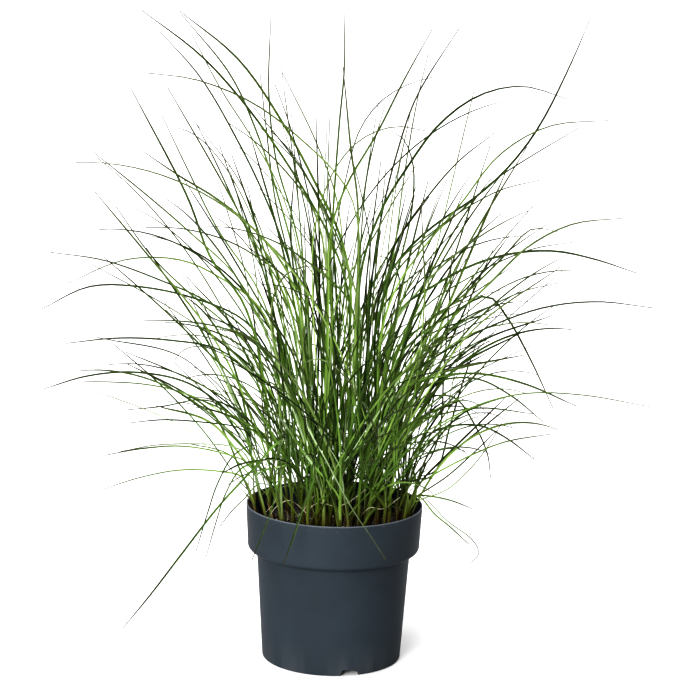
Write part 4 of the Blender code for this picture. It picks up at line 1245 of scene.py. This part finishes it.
def stands_for_soil(piece):
    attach(piece, "root")
    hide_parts("soil")


def soil_height(x, y):
    """The loose, lumpy top of the soil."""
    place = Vector((x, y, 0.0))
    lumps = noise.fractal(place * 0.045, 1.0, 2.0, 4) * 2.2
    crumbs = noise.fractal(place * 0.21, 0.8, 2.1, 4) * 1.1
    return SOIL_TOP + SOIL_LIFT + lumps + crumbs


def build_soil():
    """The whole fill: its side keeps off the pot's wall, and its top is lumpy."""
    inwards, upwards = WALL_GAP
    wall = [(radius - inwards, height + upwards) for radius, height in inner_outline()]
    top_radius = collar_radius(SOIL_TOP) - WALL - inwards
    profile = [*wall, (top_radius, SOIL_TOP - SOIL_SIDE_DEPTH)]
    turns = np.linspace(0.0, FULL_TURN, SOIL_SECTORS, endpoint=False)
    points = []
    for radius, height in profile:
        points.extend((radius * math.cos(t), radius * math.sin(t), height) for t in turns)
    for share in np.linspace(1.0, 0.0, SOIL_RINGS, endpoint=False):
        for t in turns:
            x, y = top_radius * share * math.cos(t), top_radius * share * math.sin(t)
            points.append((x, y, soil_height(x, y)))
    points.append((0.0, 0.0, soil_height(0.0, 0.0)))
    faces = pointed_tube_faces(len(profile) + SOIL_RINGS, SOIL_SECTORS)
    stands_for_soil(piece_from("soil_surface", points, faces, soil_material()))


def crumb_body():
    """A rounded lump as unit points and faces."""
    mesh = bmesh.new()
    bmesh.ops.create_icosphere(mesh, subdivisions=2, radius=1.0)
    mesh.verts.ensure_lookup_table()
    points = np.array([vert.co[:] for vert in mesh.verts])
    faces = [tuple(vert.index for vert in face.verts) for face in mesh.faces]
    mesh.free()
    return points, faces


def litter_radius():
    return collar_radius(SOIL_TOP) - WALL - LITTER_CLEARANCE


def spot_on_soil(draw, reach):
    radius = litter_radius() * reach * math.sqrt(draw.random())
    turn = draw.uniform(0.0, FULL_TURN)
    return radius * math.cos(turn), radius * math.sin(turn)


def build_crumbs(material):
    """Lumps of peat, chips of bark and pale grit that lie on the soil."""
    draw = random.Random(SEED + 200)
    body, faces = crumb_body()
    mesh = Gathered()
    for _ in range(CRUMBS):
        x, y = spot_on_soil(draw, 0.97)
        size = 0.8 + 2.4 * draw.random() ** 2.5
        squash = np.array([draw.uniform(0.7, 1.3), draw.uniform(0.5, 1.0), draw.uniform(0.35, 0.8)])
        shift = Vector((draw.uniform(0, 90), draw.uniform(0, 90), 0.0))
        rough = np.array([1.0 + 0.35 * noise.noise(Vector(p) * 1.4 + shift) for p in body])
        turned = Euler((draw.uniform(-0.5, 0.5), draw.uniform(-0.5, 0.5), draw.uniform(0, 6.3))).to_matrix()
        points = (body * rough[:, None] * squash * size) @ np.array(turned).T
        points += np.array([x, y, soil_height(x, y) + 0.25 * size])
        mesh.take(points, faces, tone=min(max(draw.gauss(*CRUMB_TONE), 0.0), 1.0))
    stands_for_soil(mesh.piece("soil_crumbs", material))


def add_straw(mesh, draw):
    """A curled straw that lies on the soil, left out where it would touch the pot's wall."""
    spot = np.array(spot_on_soil(draw, 0.9))
    turn = draw.uniform(0.0, FULL_TURN)
    step = draw.uniform(*STRAW_LENGTH) / (STRAW_RINGS - 1)
    share = np.linspace(0.0, 1.0, STRAW_RINGS)
    angles = turn + draw.gauss(0.0, 0.9) * share
    flat = np.cumsum(np.stack([np.cos(angles), np.sin(angles)], axis=1) * step, axis=0)
    flat += spot - flat[STRAW_RINGS // 2]
    if norm(flat, axis=1).max() > litter_radius():
        return
    height = np.array([soil_height(*place) for place in flat]) + STRAW_LIFT
    height = np.convolve(np.pad(height, 2, mode="edge"), np.ones(5) / 5, mode="valid")
    height += draw.uniform(0.0, 6.0) * share ** 2
    spine = np.column_stack([flat, height])
    side = np.array([-math.sin(turn), math.cos(turn), draw.gauss(0.0, 0.3)])
    widths = draw.uniform(*STRAW_WIDTH) * np.maximum(np.sin(math.pi * (0.15 + 0.8 * share)), 0.15)
    add_ribbon(mesh, spine, side, widths, draw.uniform(*STRAW_WRAP), 0.0, STRAW_THICKNESS, SPREAD,
               (spine[-1] - spine[-2]) * STRAW_TIP, tone=draw.uniform(0.6, 1.0))


def add_curl(mesh, depth, width, shade, course):
    """A listed dry, curled leaf end: its course (x, z) in the front view, at a depth Y."""
    spine = smooth_course([pushed_to_depth(x, z, depth) for x, z in course], CURL_RINGS)
    widths = width * np.linspace(1.0, 0.5, CURL_RINGS)
    add_ribbon(mesh, spine, CURL_SIDE, widths, 1.0, 0.0, LEAF_THICKNESS, NARROW_SPREAD,
               (spine[-1] - spine[-2]) * STRAW_TIP, tone=shade)


def build_straws(material):
    """Dead leaf ends and straws, curled, that lie among the stems' feet."""
    draw = random.Random(SEED + 300)
    mesh = Gathered()
    for _ in range(STRAWS):
        add_straw(mesh, draw)
    for curl in CURLS:
        add_curl(mesh, *curl)
    stands_for_soil(mesh.piece("straw_bits", material, sharp=LEAF_SHARP))


# ---- studio ----
CAMERA_TARGET = Vector((0.0105, 0.0, 0.3415))
CAMERA_DISTANCE = 2.8
CAMERA_PITCH = math.radians(12.0)
CAMERA_ROLL = math.radians(1.4)
CAMERA_LENS = 136.04
CAMERA_SENSOR = 36.0
FLOOR_REACH = 300.0
WORLD_STRENGTH = 0.7
# Each sun's name, where it shines from, its strength and its spread in degrees.
SUNS = [
    ("key", (-0.65, -1.6, 0.6), 7.6, 30.0),
    ("top", (-0.3, -0.15, 1.0), 5.0, 50.0),
    ("back", (0.5, 1.6, 1.0), 3.4, 60.0),
]


def build_floor():
    corners = [(-1, -1, 0), (1, -1, 0), (1, 1, 0), (-1, 1, 0)]
    points = np.array(corners) * FLOOR_REACH / MM
    floor = piece_from("studio_floor", points, [(0, 1, 2, 3)], floor_material())


def add_sun(name, source, strength, spread):
    data = bpy.data.lights.new(name, "SUN")
    data.energy = strength
    data.angle = math.radians(spread)
    add_object(name, data).rotation_euler = Vector(source).to_track_quat("Z", "Y").to_euler()


def build_studio():
    scene = bpy.context.scene
    world = bpy.data.worlds.new("studio")
    world.use_nodes = True
    background = world.node_tree.nodes["Background"]
    background.inputs["Color"].default_value = (1.0, 1.0, 1.0, 1.0)
    background.inputs["Strength"].default_value = WORLD_STRENGTH
    scene.world = world
    scene.view_settings.view_transform = "Standard"
    scene.view_settings.look = "High Contrast"
    for sun in SUNS:
        add_sun(*sun)


def place_camera():
    forward = Vector((0.0, math.cos(CAMERA_PITCH), -math.sin(CAMERA_PITCH)))
    level = Vector((1.0, 0.0, 0.0))
    upright = level.cross(forward)
    right = level * math.cos(CAMERA_ROLL) + upright * math.sin(CAMERA_ROLL)
    up = upright * math.cos(CAMERA_ROLL) - level * math.sin(CAMERA_ROLL)
    data = bpy.data.cameras.new("camera")
    data.lens = CAMERA_LENS
    data.sensor_width = CAMERA_SENSOR
    camera = add_object("camera", data)
    turned = Matrix((right, up, -forward)).transposed().to_4x4()
    camera.matrix_world = Matrix.Translation(CAMERA_TARGET - forward * CAMERA_DISTANCE) @ turned
    bpy.context.scene.camera = camera


def main():
    litter = litter_material()
    build_pot()
    build_soil()
    build_crumbs(litter)
    build_straws(litter)
    build_tillers()
    build_floor()
    build_studio()
    place_camera()


main()
